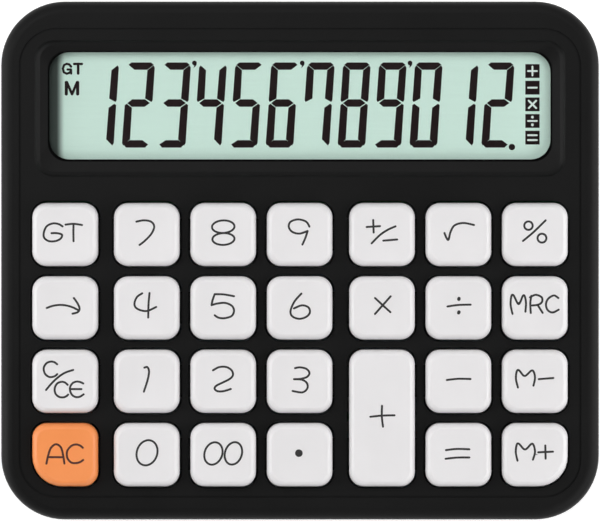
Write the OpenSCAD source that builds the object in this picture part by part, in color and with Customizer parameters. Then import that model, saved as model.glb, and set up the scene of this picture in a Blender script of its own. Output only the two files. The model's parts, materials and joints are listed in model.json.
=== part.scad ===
// Desk calculator with a sloping deck, a wide twelve-digit display and 27 keys.
// Millimetres. The desk is at z = 0, +Y points to the display, and the origin is
// below the middle of the case.

/* [Case] */
// Deck left and right of the keys, out to the case's sides
deck_side = 8.1; // [8:0.1:16]
// Deck before the front row of keys
deck_front = 8.55; // [8.35:0.1:16]
// Deck between the rear row of keys and the display surround
deck_middle = 6.55; // [6:0.05:12]
// Deck behind the display surround
deck_rear = 9.85; // [9.65:0.1:16]
// Corner radius of the case seen from above
case_corner_r = 16; // [14:0.5:18]
// Radius that rounds the edge between the deck and the walls
deck_edge_r = 3; // [1.5:0.25:4]
// Radius that rounds the edge under the case
base_edge_r = 2; // [1.5:0.25:2.5]
// Slope of the deck in degrees, rising to the rear
deck_slope = 5; // [4:0.25:7]
// Depth of the top case's walls below the deck
top_case_h = 8.5; // [8:0.1:9.5]
// Thickness of the deck
deck_t = 2.2; // [1.8:0.1:2.4]
// Thickness of the side walls
wall_t = 2.2; // [1.8:0.1:2.4]
// Thickness of the bottom case's floor
floor_t = 2; // [1.8:0.1:2.4]
// Step inwards from the top case to the bottom case along their seam
seam_step = 0.5; // [0.3:0.1:0.8]
// Height of the bottom case's lip inside the top case
lip_h = 1.3; // [0.8:0.1:2]
// Thickness of that lip
lip_t = 1; // [0.8:0.1:1.2]

/* [Deck groove] */
// Distance from the case's sides to the groove that frames the deck
rim_side = 4.6; // [4:0.1:6]
// Distance from the rear of the case to the groove
rim_rear = 6.8; // [5:0.1:8]
// Distance from the front of the case to the groove
rim_front = 5.6; // [4.5:0.1:6.5]
// Corner radius of the groove
rim_corner_r = 9.5; // [8:0.5:12]
// Width of the groove
groove_w = 0.5; // [0.3:0.05:0.8]
// Depth of the groove
groove_depth = 0.3; // [0.15:0.05:0.5]

/* [Display] */
// Distance from the case's sides to the display window
window_side = 12.15; // [11.5:0.25:20]
// Depth of the display window, front to rear
window_d = 26.9; // [24:0.1:27.5]
// Corner radius of the window
window_corner_r = 5; // [3:0.5:6]
// Width of the sloping surround at the window's sides
bezel_side = 3.6; // [2:0.1:4]
// Width of the sloping surround behind the window
bezel_rear = 2.9; // [2:0.1:3.2]
// Width of the sloping surround in front of the window
bezel_front = 4.4; // [3:0.1:4.6]
// Depth of the sloping surround below the deck
bezel_depth = 2; // [1.6:0.1:2.4]
// Width of the surround's steep upper part, in from the deck
bezel_steep_w = 0.5; // [0.3:0.1:0.6]
// Depth of the surround where its steep upper part ends
bezel_steep_depth = 0.65; // [0.5:0.05:0.8]
// Width of the surround's bend, in from the deck
bezel_bend_w = 1.3; // [1.1:0.1:1.6]
// Depth of the surround where its bend ends
bezel_bend_depth = 1.2; // [1:0.05:1.4]
// Corner radius of the surround where it leaves the deck
bezel_corner_r = 4.8; // [3:0.2:6]
// Height of the window's upright edge below the surround
window_edge_h = 0.7; // [0.5:0.1:1]
// Thickness of the wall round the display well, outside the surround
well_wall = 0.6; // [0.4:0.1:1]
// Thickness of the clear display window
lens_t = 1.5; // [1:0.1:1.8]
// How far the clear window reaches under the surround
lens_lap = 1.6; // [1:0.1:2]
// Thickness of the foam ring between the case and the display
gasket_t = 0.3; // [0.2:0.1:0.5]
// Thickness of each of the display's two glass sheets
glass_t = 1.2; // [0.7:0.1:1.3]
// How far the display glass reaches past the window
glass_lap = 2; // [1.5:0.1:2.4]
// Width of the bare contact ledge along the front of the lower glass
ledge_w = 2; // [1.5:0.1:2.4]
// Thickness of the walls and floor of the frame that holds the glass
frame_wall = 1.3; // [1:0.1:1.5]
// Width of the flexible ribbon from the glass to the circuit board
ribbon_w = 70; // [50:1:76]
// Thickness of the ribbon
ribbon_t = 0.2; // [0.15:0.05:0.3]

/* [Keys] */
// Width of a key
key_w = 16.4; // [14:0.1:18]
// Depth of a single key, front to rear
key_d = 15.8; // [14:0.1:18]
// Corner radius of a key seen from above
key_corner_r = 3.6; // [2.5:0.1:5]
// Radius of the one corner that follows the corner of the case, on the two outer front keys
outer_corner_r = 7.5; // [5:0.25:7.9]
// Radius that rounds a key's upper edge
key_edge_r = 1.5; // [0.6:0.1:1.6]
// Height of a key above the deck
key_rise = 3.6; // [3:0.1:5]
// How far a key travels when it is pressed
key_travel = 2; // [1:0.1:2.2]
// Gap all round a key in its opening
key_gap = 0.55; // [0.35:0.05:0.6]
// Space between neighbouring columns
column_gap = 2.7; // [2.6:0.1:6]
// Space between neighbouring rows
row_gap = 2.55; // [2:0.05:6]
// Extra space between the first column and the digits
function_gap = 1.3; // [0.8:0.1:2]
// Extra space between the digits and the operators
operator_gap = 1.5; // [1.2:0.1:2.4]
// Thickness of a key's side walls
key_wall = 1.2; // [0.8:0.1:1.6]
// Thickness of a key's top
key_top_t = 1.4; // [1:0.1:2]
// Diameter of the plunger under a key
plunger_d = 6; // [5:0.1:7]
// How far the plunger reaches below the key's walls
plunger_drop = 1.8; // [1.2:0.1:2.2]
// How far the two retaining tabs reach out at the key's sides
tab_reach = 1; // [0.8:0.05:1.1]
// Length of a retaining tab, front to rear
tab_w = 8; // [6:0.5:8.5]
// Thickness of a retaining tab
tab_t = 0.9; // [0.7:0.1:1.2]
// Gap between the tabs and the underside of the deck
tab_gap = 0.3; // [0.2:0.05:0.4]

/* [Rubber sheet and circuit board] */
// Diameter of a rubber dome where it meets the sheet
dome_d = 11; // [10:0.1:12]
// Thickness of a dome's sloping wall
dome_wall = 0.7; // [0.5:0.1:0.9]
// Height of a dome beyond the travel of its key
dome_spare = 0.4; // [0.3:0.1:0.8]
// Gap between a plunger and its dome
dome_gap = 0.1; // [0.05:0.05:0.2]
// Thickness of the rubber sheet
sheet_t = 0.8; // [0.6:0.1:1]
// Thickness of the circuit board
board_t = 1.6; // [1.2:0.1:1.6]
// How far the circuit board reaches past the keys
board_margin = 2; // [1.5:0.1:2.4]
// Width of the strip behind the rubber sheet where the ribbon lands on the board
landing_w = 3.6; // [3:0.1:3.8]
// Diameter of the posts that carry the circuit board
board_post_d = 3.4; // [3:0.1:3.5]
// Diameter of the board screws
board_screw_d = 1.6; // [1.4:0.1:1.8]
// Diameter of the epoxy dome over the chip
chip_d = 13; // [9:0.5:15]
// Height of the epoxy dome over the chip
chip_h = 1.6; // [1.2:0.1:2.2]
// Diameter of the capacitor
capacitor_d = 5; // [4:0.5:5.5]
// Length of the capacitor
capacitor_l = 9; // [7:0.5:12]

/* [Battery] */
// Diameter of a battery cell
cell_d = 10.3; // [10:0.1:10.5]
// Length of a battery cell with its raised end
cell_l = 44.5; // [43.5:0.1:45]
// Diameter of the cell's raised end
cell_nub_d = 3.8; // [3:0.1:4.5]
// Height of the cell's raised end
cell_nub_h = 1; // [0.8:0.1:1.4]
// Length of a contact spring when the cells are in
spring_l = 6; // [4.5:0.1:7]
// Diameter of the spring wire
spring_wire_d = 0.7; // [0.5:0.1:0.8]
// Thickness of the metal contacts
contact_t = 0.4; // [0.3:0.05:0.5]
// Length of the solder tabs outside the battery compartment
solder_l = 2.4; // [1.8:0.1:3]
// Width of the solder tabs
solder_w = 3; // [2:0.1:4]
// Thickness of the walls of the battery compartment
bay_wall = 1.2; // [1:0.1:1.5]
// Distance from the rear of the case to the battery compartment
bay_rear = 9; // [8:0.25:10]
// Gap between the battery compartment and the display frame above it
bay_clearance = 0.45; // [0.3:0.05:3]
// Thickness of the ledge that the battery door's edges run on
door_ledge_t = 0.8; // [0.7:0.1:1]
// Width of the edges that run on that ledge
door_edge_w = 1.5; // [1.2:0.1:2]
// Gap around the battery door
door_gap = 0.3; // [0.2:0.05:0.4]
// Width of the grooved finger grip on the battery door
grip_w = 18; // [12:1:30]
// Width of each groove of the finger grip
grip_line = 0.9; // [0.6:0.1:1.2]
// Diameter of the battery leads
lead_d = 1.2; // [0.9:0.1:1.4]

/* [Feet and case screws] */
// Diameter of a rubber foot
foot_d = 10; // [8:0.5:12]
// How far a rubber foot stands out under the case
foot_h = 1.2; // [0.8:0.1:2]
// Depth of the recess that holds a foot
foot_recess = 0.6; // [0.4:0.1:0.8]
// Distance from the case's side to the middle of a foot
foot_side = 15; // [14:0.5:24]
// Distance from the case's front or rear to the middle of a foot
foot_end = 15; // [14:0.5:20]
// Diameter of the case screws
case_screw_d = 2.4; // [2:0.1:2.6]
// Diameter of the heads of the case screws
case_head_d = 4.2; // [3.8:0.1:4.4]
// Distance from the middle of the case to the case screws
screw_side = 48; // [46:0.5:50]
// Thickness of material under the head of a case screw
case_grip = 2; // [1.5:0.1:2.5]
// Diameter of the screw posts in the top case
case_post_d = 5; // [4.6:0.1:5.2]

/* [Clearances] */
// Play between the lip and the top case
seam_gap = 0.15; // [0.1:0.05:0.25]
// Radial play of a screw in its hole
screw_gap = 0.05; // [0.02:0.01:0.1]
// Play between pieces that rest in one another
part_gap = 0.2; // [0.15:0.05:0.3]
// Play between a cell and its contacts
contact_gap = 0.05; // [0.02:0.01:0.1]

/* [Hidden] */
$fn = 64;
// How far a cutting shape passes the face it cuts
overrun = 1;
// Size of a shape that cuts away everything on one side
far = 400;

case_white = "#f0eeee";
case_black = "#202020";
board_green = "#2c6b45";
steel = "#b9bcc0";

// Case size from the keys, the display and the deck around them
column_pitch = key_w + column_gap;
row_pitch = key_d + row_gap;
grid_w = 6 * column_pitch + function_gap + operator_gap;
case_w = grid_w + key_w + 2 * deck_side;
rows_d = 3 * row_pitch + key_d;
case_d = deck_front + rows_d + deck_middle + bezel_front + window_d + bezel_rear + deck_rear;
window_w = case_w - 2 * window_side;

// Deck geometry
slope_c = cos(deck_slope);
slope_s = sin(deck_slope);
// The deck's origin lies behind or before z's axis so that the whole case is centred on it
deck_y = -(deck_edge_r * (slope_c + slope_s - 1) + top_case_h * slope_s) / 2;

// World y of a point given on the deck, and world z
function world_y(y, z) = deck_y + y * slope_c - z * slope_s;
function world_z(y, z) = deck_height + y * slope_s + z * slope_c;
// World z of the deck-parallel plane at depth z, above world y
function plane_z(wy, z) = world_z((wy - deck_y + z * slope_s) / slope_c, z);

// Key grid on the deck
function col_x(i) =
    i * column_pitch + (i > 0 ? function_gap : 0) + (i > 3 ? operator_gap : 0) - grid_w / 2;
function row_y(j) = deck_front + key_d / 2 - case_d / 2 + (3 - j) * row_pitch;
tall_d = key_d + row_pitch;

// Keys: name, column, row (0 is the rear row, halves lie between rows), depth, outer corner
KEYS = [
    ["key_grand_total", 0, 0, key_d, 0],
    ["key_7", 1, 0, key_d, 0],
    ["key_8", 2, 0, key_d, 0],
    ["key_9", 3, 0, key_d, 0],
    ["key_sign", 4, 0, key_d, 0],
    ["key_root", 5, 0, key_d, 0],
    ["key_percent", 6, 0, key_d, 0],
    ["key_backspace", 0, 1, key_d, 0],
    ["key_4", 1, 1, key_d, 0],
    ["key_5", 2, 1, key_d, 0],
    ["key_6", 3, 1, key_d, 0],
    ["key_times", 4, 1, key_d, 0],
    ["key_divide", 5, 1, key_d, 0],
    ["key_memory_recall", 6, 1, key_d, 0],
    ["key_clear_entry", 0, 2, key_d, 0],
    ["key_1", 1, 2, key_d, 0],
    ["key_2", 2, 2, key_d, 0],
    ["key_3", 3, 2, key_d, 0],
    ["key_minus", 5, 2, key_d, 0],
    ["key_memory_minus", 6, 2, key_d, 0],
    ["key_all_clear", 0, 3, key_d, -1],
    ["key_0", 1, 3, key_d, 0],
    ["key_00", 2, 3, key_d, 0],
    ["key_point", 3, 3, key_d, 0],
    ["key_plus", 4, 2.5, tall_d, 0],
    ["key_equals", 5, 3, key_d, 0],
    ["key_memory_plus", 6, 3, key_d, 1],
];

// Heights below the deck, from the top down
tab_z = -deck_t - tab_gap;
skirt_z = tab_z - tab_t;
plunger_z = skirt_z - plunger_drop;
dome_h = key_travel + dome_spare;
sheet_z = plunger_z - dome_gap - dome_h;
board_z = sheet_z - sheet_t;
board_under_z = board_z - board_t;

// Display: the window's middle and the stack below it
window_y = case_d / 2 - deck_rear - bezel_rear - window_d / 2;
window_z = -bezel_depth - window_edge_h;
well_z = window_z - lens_t;
glass_z = well_z - gasket_t;
ledge_z = glass_z - glass_t;
glass_under_z = ledge_z - glass_t;
frame_z = glass_under_z - frame_wall;
glass_w = window_w + 2 * glass_lap;
glass_d = window_d + 2 * glass_lap;
frame_w = glass_w + 2 * (part_gap + frame_wall);
frame_front = window_y - glass_d / 2 - ledge_w / 2 - part_gap - frame_wall;
frame_rear = window_y + glass_d / 2 + part_gap + frame_wall;
bezel_y = window_y + (bezel_rear - bezel_front) / 2;
bezel_w = window_w + 2 * bezel_side;
bezel_d = window_d + bezel_rear + bezel_front;

// Circuit board and rubber sheet on the deck
board_w = grid_w + key_w + 2 * board_margin;
board_front = row_y(3) - key_d / 2 - board_margin;
sheet_rear = row_y(0) + key_d / 2;
board_rear = sheet_rear + landing_w;
post_x = [
    (col_x(0) + col_x(1)) / 2,
    (col_x(3) + col_x(4)) / 2,
    (col_x(5) + col_x(6)) / 2,
];
post_y = [(row_y(0) + row_y(1)) / 2, (row_y(2) + row_y(3)) / 2];
board_posts = [for (x = post_x) for (y = post_y) [x, y]];
board_head_d = 2 * board_screw_d;
board_head_h = board_screw_d * 0.7;

// Case screws on the deck: before the keys, in the strip behind them and behind the display
inner_y = case_d / 2 - wall_t;
before_y = (row_y(3) - key_d / 2 - key_gap - inner_y) / 2;
strip_y = (sheet_rear + key_gap + frame_front) / 2;
behind_y = (frame_rear + inner_y) / 2;
case_posts = [for (y = [before_y, strip_y, behind_y]) for (side = [-1, 1]) [side * screw_side, y]];
well_r = case_head_d / 2 + part_gap;
pillar_r = well_r + 1;
case_head_h = case_screw_d * 0.6;

// Bottom case in world axes
base_w = case_w - 2 * seam_step;
base_d = case_d * slope_c - 2 * seam_step;
base_y = deck_y + top_case_h * slope_s;
base_r = case_corner_r - seam_step;
floor_z = foot_h + floor_t;

// Battery compartment in world axes
bay_w = cell_l + spring_l + 2 * contact_t + 2 * contact_gap;
bay_d = 2 * cell_d + 6 * part_gap;
bay_y = base_y + base_d / 2 - bay_rear - bay_wall - bay_d / 2;
bay_floor_z = floor_z + door_gap;
cell_z = bay_floor_z + part_gap + cell_d / 2;
bay_roof_z = bay_floor_z + cell_d + 3 * part_gap;
cell_y = cell_d / 2 + part_gap;
door_w = bay_w - 2 * door_edge_w;
door_front = bay_y - bay_d / 2;
contact_w = 0.85 * cell_d;
solder_z = contact_w / 6;
tab_out = bay_wall + solder_l;

// The deck lies as high as the battery compartment under the display needs
bay_front_y = bay_y - bay_d / 2 - bay_wall;
deck_height = bay_roof_z + bay_wall + bay_clearance - frame_z * slope_c
    - (bay_front_y - deck_y + frame_z * slope_s) * slope_s / slope_c;

foot_x = case_w / 2 - foot_side;
foot_y = base_d / 2 - foot_end;

// ---------- shared shapes ----------

// Places what is drawn with the deck's face at z = 0 on the sloping deck
module on_deck() {
    translate([0, deck_y, deck_height]) rotate([deck_slope, 0, 0]) children();
}

// Flat rectangle centred on the origin; r is one radius or four,
// counted from the front left corner anticlockwise
module rounded_rect(w, d, r) {
    radii = is_list(r) ? r : [r, r, r, r];
    difference() {
        square([w, d], center = true);
        for (i = [0:3]) {
            sx = i == 0 || i == 3 ? -1 : 1;
            sy = i < 2 ? -1 : 1;
            translate([sx * (w / 2 - radii[i]), sy * (d / 2 - radii[i])])
                mirror([sx < 0 ? 1 : 0, 0]) mirror([0, sy < 0 ? 1 : 0])
                    difference() {
                        square(radii[i] + overrun);
                        circle(radii[i]);
                    }
        }
    }
}

module rounded_slab(w, d, h, r) {
    linear_extrude(h) rounded_rect(w, d, r);
}

// Upright section of a wall as high as h and as thick as t, with its outer top edge rounded by e
module edge_section(t, h, e) {
    difference() {
        square([t, h]);
        translate([t - e, h - e]) difference() {
            square(e + overrun);
            circle(e);
        }
    }
}

// Block from z = 0 to h with rounded corners, and its upper edge rounded by e all the way round:
// four turned corners, four straight bands and a core that overlaps them all
module edged_block(w, d, h, r, e) {
    radii = is_list(r) ? r : [r, r, r, r];
    overlap = 0.3;
    core = e + overlap;
    band = core + overlap;
    for (i = [0:3]) {
        sx = i == 0 || i == 3 ? -1 : 1;
        sy = i < 2 ? -1 : 1;
        next = (i + 1) % 4;
        along = i % 2 == 0 ? w : d;
        across = i % 2 == 0 ? d : w;
        translate([sx * (w / 2 - radii[i]), sy * (d / 2 - radii[i]), 0])
            rotate([0, 0, 180 + 90 * i])
                rotate_extrude(angle = 90) edge_section(radii[i], h, e);
        rotate([0, 0, 90 * i])
            translate([radii[i] - along / 2, band - across / 2, 0])
                rotate([90, 0, 90])
                    linear_extrude(along - radii[i] - radii[next])
                        mirror([1, 0]) edge_section(band, h, e);
    }
    rounded_slab(w - 2 * core, d - 2 * core, h, [for (a = radii) a - core]);
}

// Closed tube along a list of points
function unit(v) = v / norm(v);
function ring_axes(points, i) =
    let (
        a = points[max(i - 1, 0)],
        b = points[min(i + 1, len(points) - 1)],
        t = unit(b - a),
        up = abs(t[2]) > 0.9 ? [1, 0, 0] : [0, 0, 1],
        u = unit(cross(up, t))
    )
    [u, cross(t, u)];
module tube(points, d, sides = 8) {
    n = len(points);
    rings = [
        for (i = [0:n - 1])
            let (axes = ring_axes(points, i))
            for (k = [0:sides - 1])
                points[i] + d / 2 * (cos(360 * k / sides) * axes[0] + sin(360 * k / sides) * axes[1])
    ];
    sides_of = [
        for (i = [0:n - 2])
            for (k = [0:sides - 1])
                let (a = i * sides + k, b = i * sides + (k + 1) % sides)
                [a, a + sides, b + sides, b]
    ];
    ends = [[for (k = [0:sides - 1]) k], [for (k = [sides - 1:-1:0]) (n - 1) * sides + k]];
    polyhedron(rings, concat(sides_of, ends), convexity = 6);
}

// Point at t on the cubic curve through p[0] and p[3], pulled by p[1] and p[2]
function curve_at(p, t) =
    pow(1 - t, 3) * p[0] + 3 * t * pow(1 - t, 2) * p[1] + 3 * t * t * (1 - t) * p[2] + pow(t, 3) * p[3];

// ---------- case ----------

// Corner radii of a key: the outer front corner of an outer key follows the case
function key_radii(outer) = [
    outer < 0 ? outer_corner_r : key_corner_r,
    outer > 0 ? outer_corner_r : key_corner_r,
    key_corner_r,
    key_corner_r,
];

module key_openings() {
    for (key = KEYS)
        translate([col_x(key[1]), row_y(key[2]), -deck_t - overrun])
            rounded_slab(
                key_w + 2 * key_gap, key[3] + 2 * key_gap, deck_t + 2 * overrun,
                [for (r = key_radii(key[4])) r + key_gap]
            );
}

module display_opening() {
    slice = 0.01;
    hull() {
        translate([0, bezel_y, slice]) rounded_slab(bezel_w, bezel_d, slice, bezel_corner_r);
        for (bend = [[bezel_steep_w, bezel_steep_depth], [bezel_bend_w, bezel_bend_depth]])
            translate([0, bezel_y, -bend[1]])
                rounded_slab(
                    bezel_w - 2 * bend[0], bezel_d - 2 * bend[0], slice,
                    bezel_corner_r - bend[0]
                );
        translate([0, window_y, -bezel_depth])
            rounded_slab(window_w, window_d, slice, window_corner_r);
    }
    translate([0, window_y, well_z - overrun])
        rounded_slab(window_w, window_d, -well_z - bezel_depth + overrun + slice, window_corner_r);
    translate([0, window_y, well_z - overrun])
        rounded_slab(
            window_w + 2 * (lens_lap + part_gap), window_d + 2 * (lens_lap + part_gap),
            lens_t + overrun, window_corner_r
        );
}

module deck_groove() {
    groove_y = (rim_front - rim_rear) / 2;
    translate([0, groove_y, -groove_depth])
        difference() {
            rounded_slab(
                case_w - 2 * rim_side, case_d - rim_front - rim_rear,
                groove_depth + overrun, rim_corner_r
            );
            translate([0, 0, -overrun])
                rounded_slab(
                    case_w - 2 * (rim_side + groove_w), case_d - rim_front - rim_rear - 2 * groove_w,
                    groove_depth + 3 * overrun, rim_corner_r - groove_w
                );
        }
}

module top_case() {
    color(case_black) {
        difference() {
            union() {
                on_deck() {
                    difference() {
                        translate([0, 0, -top_case_h])
                            edged_block(case_w, case_d, top_case_h, case_corner_r, deck_edge_r);
                        translate([0, 0, -top_case_h - overrun])
                            rounded_slab(
                                case_w - 2 * wall_t, case_d - 2 * wall_t,
                                top_case_h - deck_t + overrun, case_corner_r - wall_t
                            );
                    }
                    translate([0, bezel_y, well_z])
                        rounded_slab(
                            bezel_w + 2 * well_wall, bezel_d + 2 * well_wall,
                            -well_z - deck_t / 2, bezel_corner_r
                        );
                    for (p = board_posts)
                        translate([p[0], p[1], board_z])
                            cylinder(d = board_post_d, h = -board_z - deck_t / 2);
                }
                for (p = case_posts) case_post(p);
            }
            on_deck() {
                key_openings();
                display_opening();
                deck_groove();
                for (p = board_posts)
                    translate([p[0], p[1], board_z - overrun])
                        cylinder(r = board_screw_d / 2 + screw_gap, h = -board_z - deck_t + overrun);
            }
            for (p = case_posts) case_post_hole(p);
        }
    }
}

// Upright post from the top case down to the seam, and the hole that its screw bites into
function post_place(p) = [p[0], world_y(p[1], -deck_t)];
function post_foot_z(p) = plane_z(post_place(p)[1], -top_case_h);
module case_post(p) {
    at = post_place(p);
    translate([at[0], at[1], post_foot_z(p)])
        cylinder(d = case_post_d, h = top_case_h - deck_t / 2);
}
module case_post_hole(p) {
    at = post_place(p);
    translate([at[0], at[1], post_foot_z(p) - overrun])
        cylinder(r = case_screw_d / 2 + screw_gap, h = top_case_h - deck_t - part_gap + overrun);
}

module base_block() {
    translate([0, base_y, foot_h]) mirror([0, 0, 1])
        translate([0, 0, -deck_height])
            edged_block(base_w, base_d, deck_height, base_r, base_edge_r);
}

module below_seam() {
    on_deck() translate([-far / 2, -far / 2, -far - top_case_h]) cube(far);
}

module lip_ring() {
    outer_w = case_w - 2 * (wall_t + seam_gap);
    outer_d = case_d - 2 * (wall_t + seam_gap);
    outer_r = case_corner_r - wall_t - seam_gap;
    lip_root = lip_h;
    difference() {
        on_deck() translate([0, 0, -top_case_h - lip_root])
            difference() {
                rounded_slab(outer_w, outer_d, lip_h + lip_root, outer_r);
                translate([0, 0, -overrun])
                    rounded_slab(
                        outer_w - 2 * lip_t, outer_d - 2 * lip_t,
                        lip_h + lip_root + 2 * overrun, outer_r - lip_t
                    );
            }
        for (p = case_posts)
            translate([p[0], post_place(p)[1], post_foot_z(p)])
                cylinder(d = case_post_d + 2 * part_gap, h = lip_h + overrun);
    }
}

module screw_pillar(p) {
    at = post_place(p);
    translate([at[0], at[1], foot_h + floor_t / 2])
        cylinder(r = pillar_r, h = post_foot_z(p) - foot_h - floor_t / 2);
}
module screw_well(p) {
    at = post_place(p);
    translate([at[0], at[1], foot_h - overrun])
        cylinder(r = well_r, h = post_foot_z(p) - case_grip - foot_h + overrun);
    translate([at[0], at[1], foot_h])
        cylinder(r = case_screw_d / 2 + part_gap, h = post_foot_z(p) - foot_h + overrun);
}

module bay_walls() {
    translate([-bay_w / 2 - bay_wall, bay_y - bay_d / 2 - bay_wall, foot_h + floor_t / 2])
        cube([bay_w + 2 * bay_wall, bay_d + 2 * bay_wall, bay_roof_z + bay_wall - foot_h - floor_t / 2]);
}

module bay_hollow() {
    translate([-bay_w / 2, bay_y - bay_d / 2, foot_h + door_ledge_t])
        cube([bay_w, bay_d, bay_roof_z - foot_h - door_ledge_t]);
}

// Way for the battery door: its plate, and above that its wider running edges
module door_way() {
    reach = base_d;
    translate([-door_w / 2 - door_gap, door_front + door_edge_w - door_gap, foot_h - overrun])
        cube([door_w + 2 * door_gap, reach, floor_t + overrun]);
    translate([-bay_w / 2, door_front, foot_h + door_ledge_t])
        cube([bay_w, reach, floor_t - door_ledge_t + door_gap]);
}

module contact_slots() {
    for (side = [-1, 1])
        translate([
            bay_w / 2 - overrun,
            bay_y + side * cell_y - solder_w / 2 - part_gap,
            cell_z + solder_z - part_gap,
        ])
            cube([bay_wall + 2 * overrun, solder_w + 2 * part_gap, contact_t + lead_d + 2 * part_gap]);
}

module foot_recesses() {
    for (x = [-foot_x, foot_x]) for (y = [-foot_y, foot_y])
        translate([x, base_y + y, foot_h - overrun])
            cylinder(r = foot_d / 2 + part_gap, h = foot_recess + overrun);
}

module bottom_case() {
    color(case_black)
        difference() {
            union() {
                difference() {
                    intersection() {
                        base_block();
                        below_seam();
                    }
                    translate([0, base_y, floor_z])
                        rounded_slab(
                            base_w - 2 * wall_t, base_d - 2 * wall_t,
                            deck_height + case_d * slope_s, base_r - wall_t
                        );
                }
                lip_ring();
                intersection() {
                    for (p = case_posts) screw_pillar(p);
                    below_seam();
                }
                bay_walls();
            }
            bay_hollow();
            door_way();
            contact_slots();
            foot_recesses();
            for (p = case_posts) screw_well(p);
        }
}

module battery_door() {
    top_z = floor_z;
    edge_z = foot_h + door_ledge_t + door_gap;
    color(case_black)
        difference() {
            intersection() {
                base_block();
                union() {
                    translate([-door_w / 2, door_front + door_edge_w, foot_h - overrun])
                        cube([door_w, base_d, top_z - foot_h + overrun]);
                    translate([-bay_w / 2 + door_gap, door_front + door_gap, edge_z])
                        cube([bay_w - 2 * door_gap, base_d, top_z - edge_z]);
                }
            }
            for (i = [0:4])
                translate([-grip_w / 2, bay_y + bay_d / 2 + (2 * i - 3) * grip_line, foot_h - overrun])
                    cube([grip_w, grip_line, overrun + grip_line / 2]);
        }
}

module case_screws() {
    hole_spare = 1;
    color(steel)
        for (p = case_posts) {
            at = post_place(p);
            head_z = post_foot_z(p) - case_grip;
            translate([at[0], at[1], head_z])
                cylinder(d = case_screw_d, h = case_grip + top_case_h - deck_t - hole_spare);
            translate([at[0], at[1], head_z - case_head_h])
                difference() {
                    cylinder(d = case_head_d, h = case_head_h);
                    for (turn = [0, 90])
                        rotate([0, 0, turn])
                            translate([-case_screw_d / 2, -case_screw_d / 8, -overrun])
                                cube([case_screw_d, case_screw_d / 4, overrun + case_head_h / 2]);
                }
        }
}

module rubber_feet() {
    edge = 0.4;
    color("#2a2a2a")
        for (x = [-foot_x, foot_x]) for (y = [-foot_y, foot_y])
            translate([x, base_y + y, 0])
                rotate_extrude()
                    difference() {
                        square([foot_d / 2, foot_h + foot_recess]);
                        translate([foot_d / 2 - edge, edge]) difference() {
                            translate([0, -edge - overrun]) square([edge + overrun, edge + overrun]);
                            circle(edge);
                        }
                    }
}

// ---------- display ----------

module display_window() {
    color("#dfe6e4", 0.35)
        on_deck() translate([0, window_y, well_z])
            rounded_slab(window_w + 2 * lens_lap, window_d + 2 * lens_lap, lens_t, window_corner_r);
}

module display_gasket() {
    set_back = 0.5;
    color("#303030")
        on_deck() translate([0, window_y, glass_z])
            difference() {
                rounded_slab(glass_w, window_d + 2 * lens_lap, gasket_t, window_corner_r);
                translate([0, 0, -overrun])
                    rounded_slab(
                        window_w + 2 * set_back, window_d + 2 * set_back,
                        gasket_t + 2 * overrun, window_corner_r
                    );
            }
}

module lcd_glass() {
    color("#b8cfc4")
        on_deck() {
            translate([-glass_w / 2, window_y - glass_d / 2 + ledge_w / 2, ledge_z])
                cube([glass_w, glass_d - ledge_w / 2, glass_t]);
            translate([-glass_w / 2, window_y - glass_d / 2 - ledge_w / 2, glass_under_z])
                cube([glass_w, glass_d + ledge_w / 2, glass_t]);
        }
}

module lcd_frame() {
    frame_top = glass_z + gasket_t / 2;
    ribbon_play = 1;
    color("#e6e6e2")
        on_deck()
            difference() {
                translate([-frame_w / 2, frame_front, frame_z])
                    cube([frame_w, frame_rear - frame_front, frame_top - frame_z]);
                translate([-glass_w / 2 - part_gap, frame_front + frame_wall, glass_under_z])
                    cube([glass_w + 2 * part_gap, frame_rear - frame_front - 2 * frame_wall, far]);
                translate([-ribbon_w / 2 - ribbon_play, frame_front - overrun, ledge_z - part_gap])
                    cube([ribbon_w + 2 * ribbon_play, frame_wall + 2 * overrun, far]);
            }
}

// Strip of even thickness along a few points, drawn flat
module flat_strip(points, t) {
    for (i = [0:len(points) - 2]) {
        run = points[i + 1] - points[i];
        translate(points[i]) rotate(atan2(run[1], run[0]))
            translate([0, -t / 2]) square([norm(run), t]);
    }
    for (i = [1:len(points) - 2]) translate(points[i]) circle(d = t);
}

// The ribbon leaves the glass, goes over the frame's front wall and drops to the board
module lcd_ribbon() {
    bond = 0.02;
    bend = 0.6;
    over = ledge_z + ribbon_t / 2 + bond;
    down = board_z + ribbon_t / 2 + bond;
    ledge_y = window_y - glass_d / 2 + ledge_w / 2 - part_gap;
    bend_y = frame_front - bend - part_gap;
    color("#c98f3c")
        on_deck() translate([-ribbon_w / 2, 0, 0]) rotate([90, 0, 90])
            linear_extrude(ribbon_w)
                flat_strip([
                    [ledge_y, over],
                    [bend_y, over],
                    [bend_y - bend, over - bend],
                    [bend_y - 1.5 * bend, down + bend],
                    [bend_y - 2.5 * bend, down],
                    [sheet_rear + bend, down],
                ], ribbon_t);
}

// ---------- rubber sheet and circuit board ----------

// Outline shared by the board and the sheet, cut clear of the case posts
module board_outline(rear) {
    front_r = case_corner_r / 2;
    rear_r = 1;
    post_room = case_post_d + 2;
    difference() {
        translate([0, (board_front + rear) / 2])
            rounded_rect(board_w, rear - board_front, [front_r, front_r, rear_r, rear_r]);
        for (p = case_posts) {
            along = top_case_h - deck_t;
            translate([p[0], p[1] - along * slope_s]) circle(d = post_room);
            if (p[1] < rear + case_post_d && p[1] > 0)
                translate([p[0] - post_room / 2, p[1] - along * slope_s])
                    square([post_room, case_post_d + along]);
        }
    }
}

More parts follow.
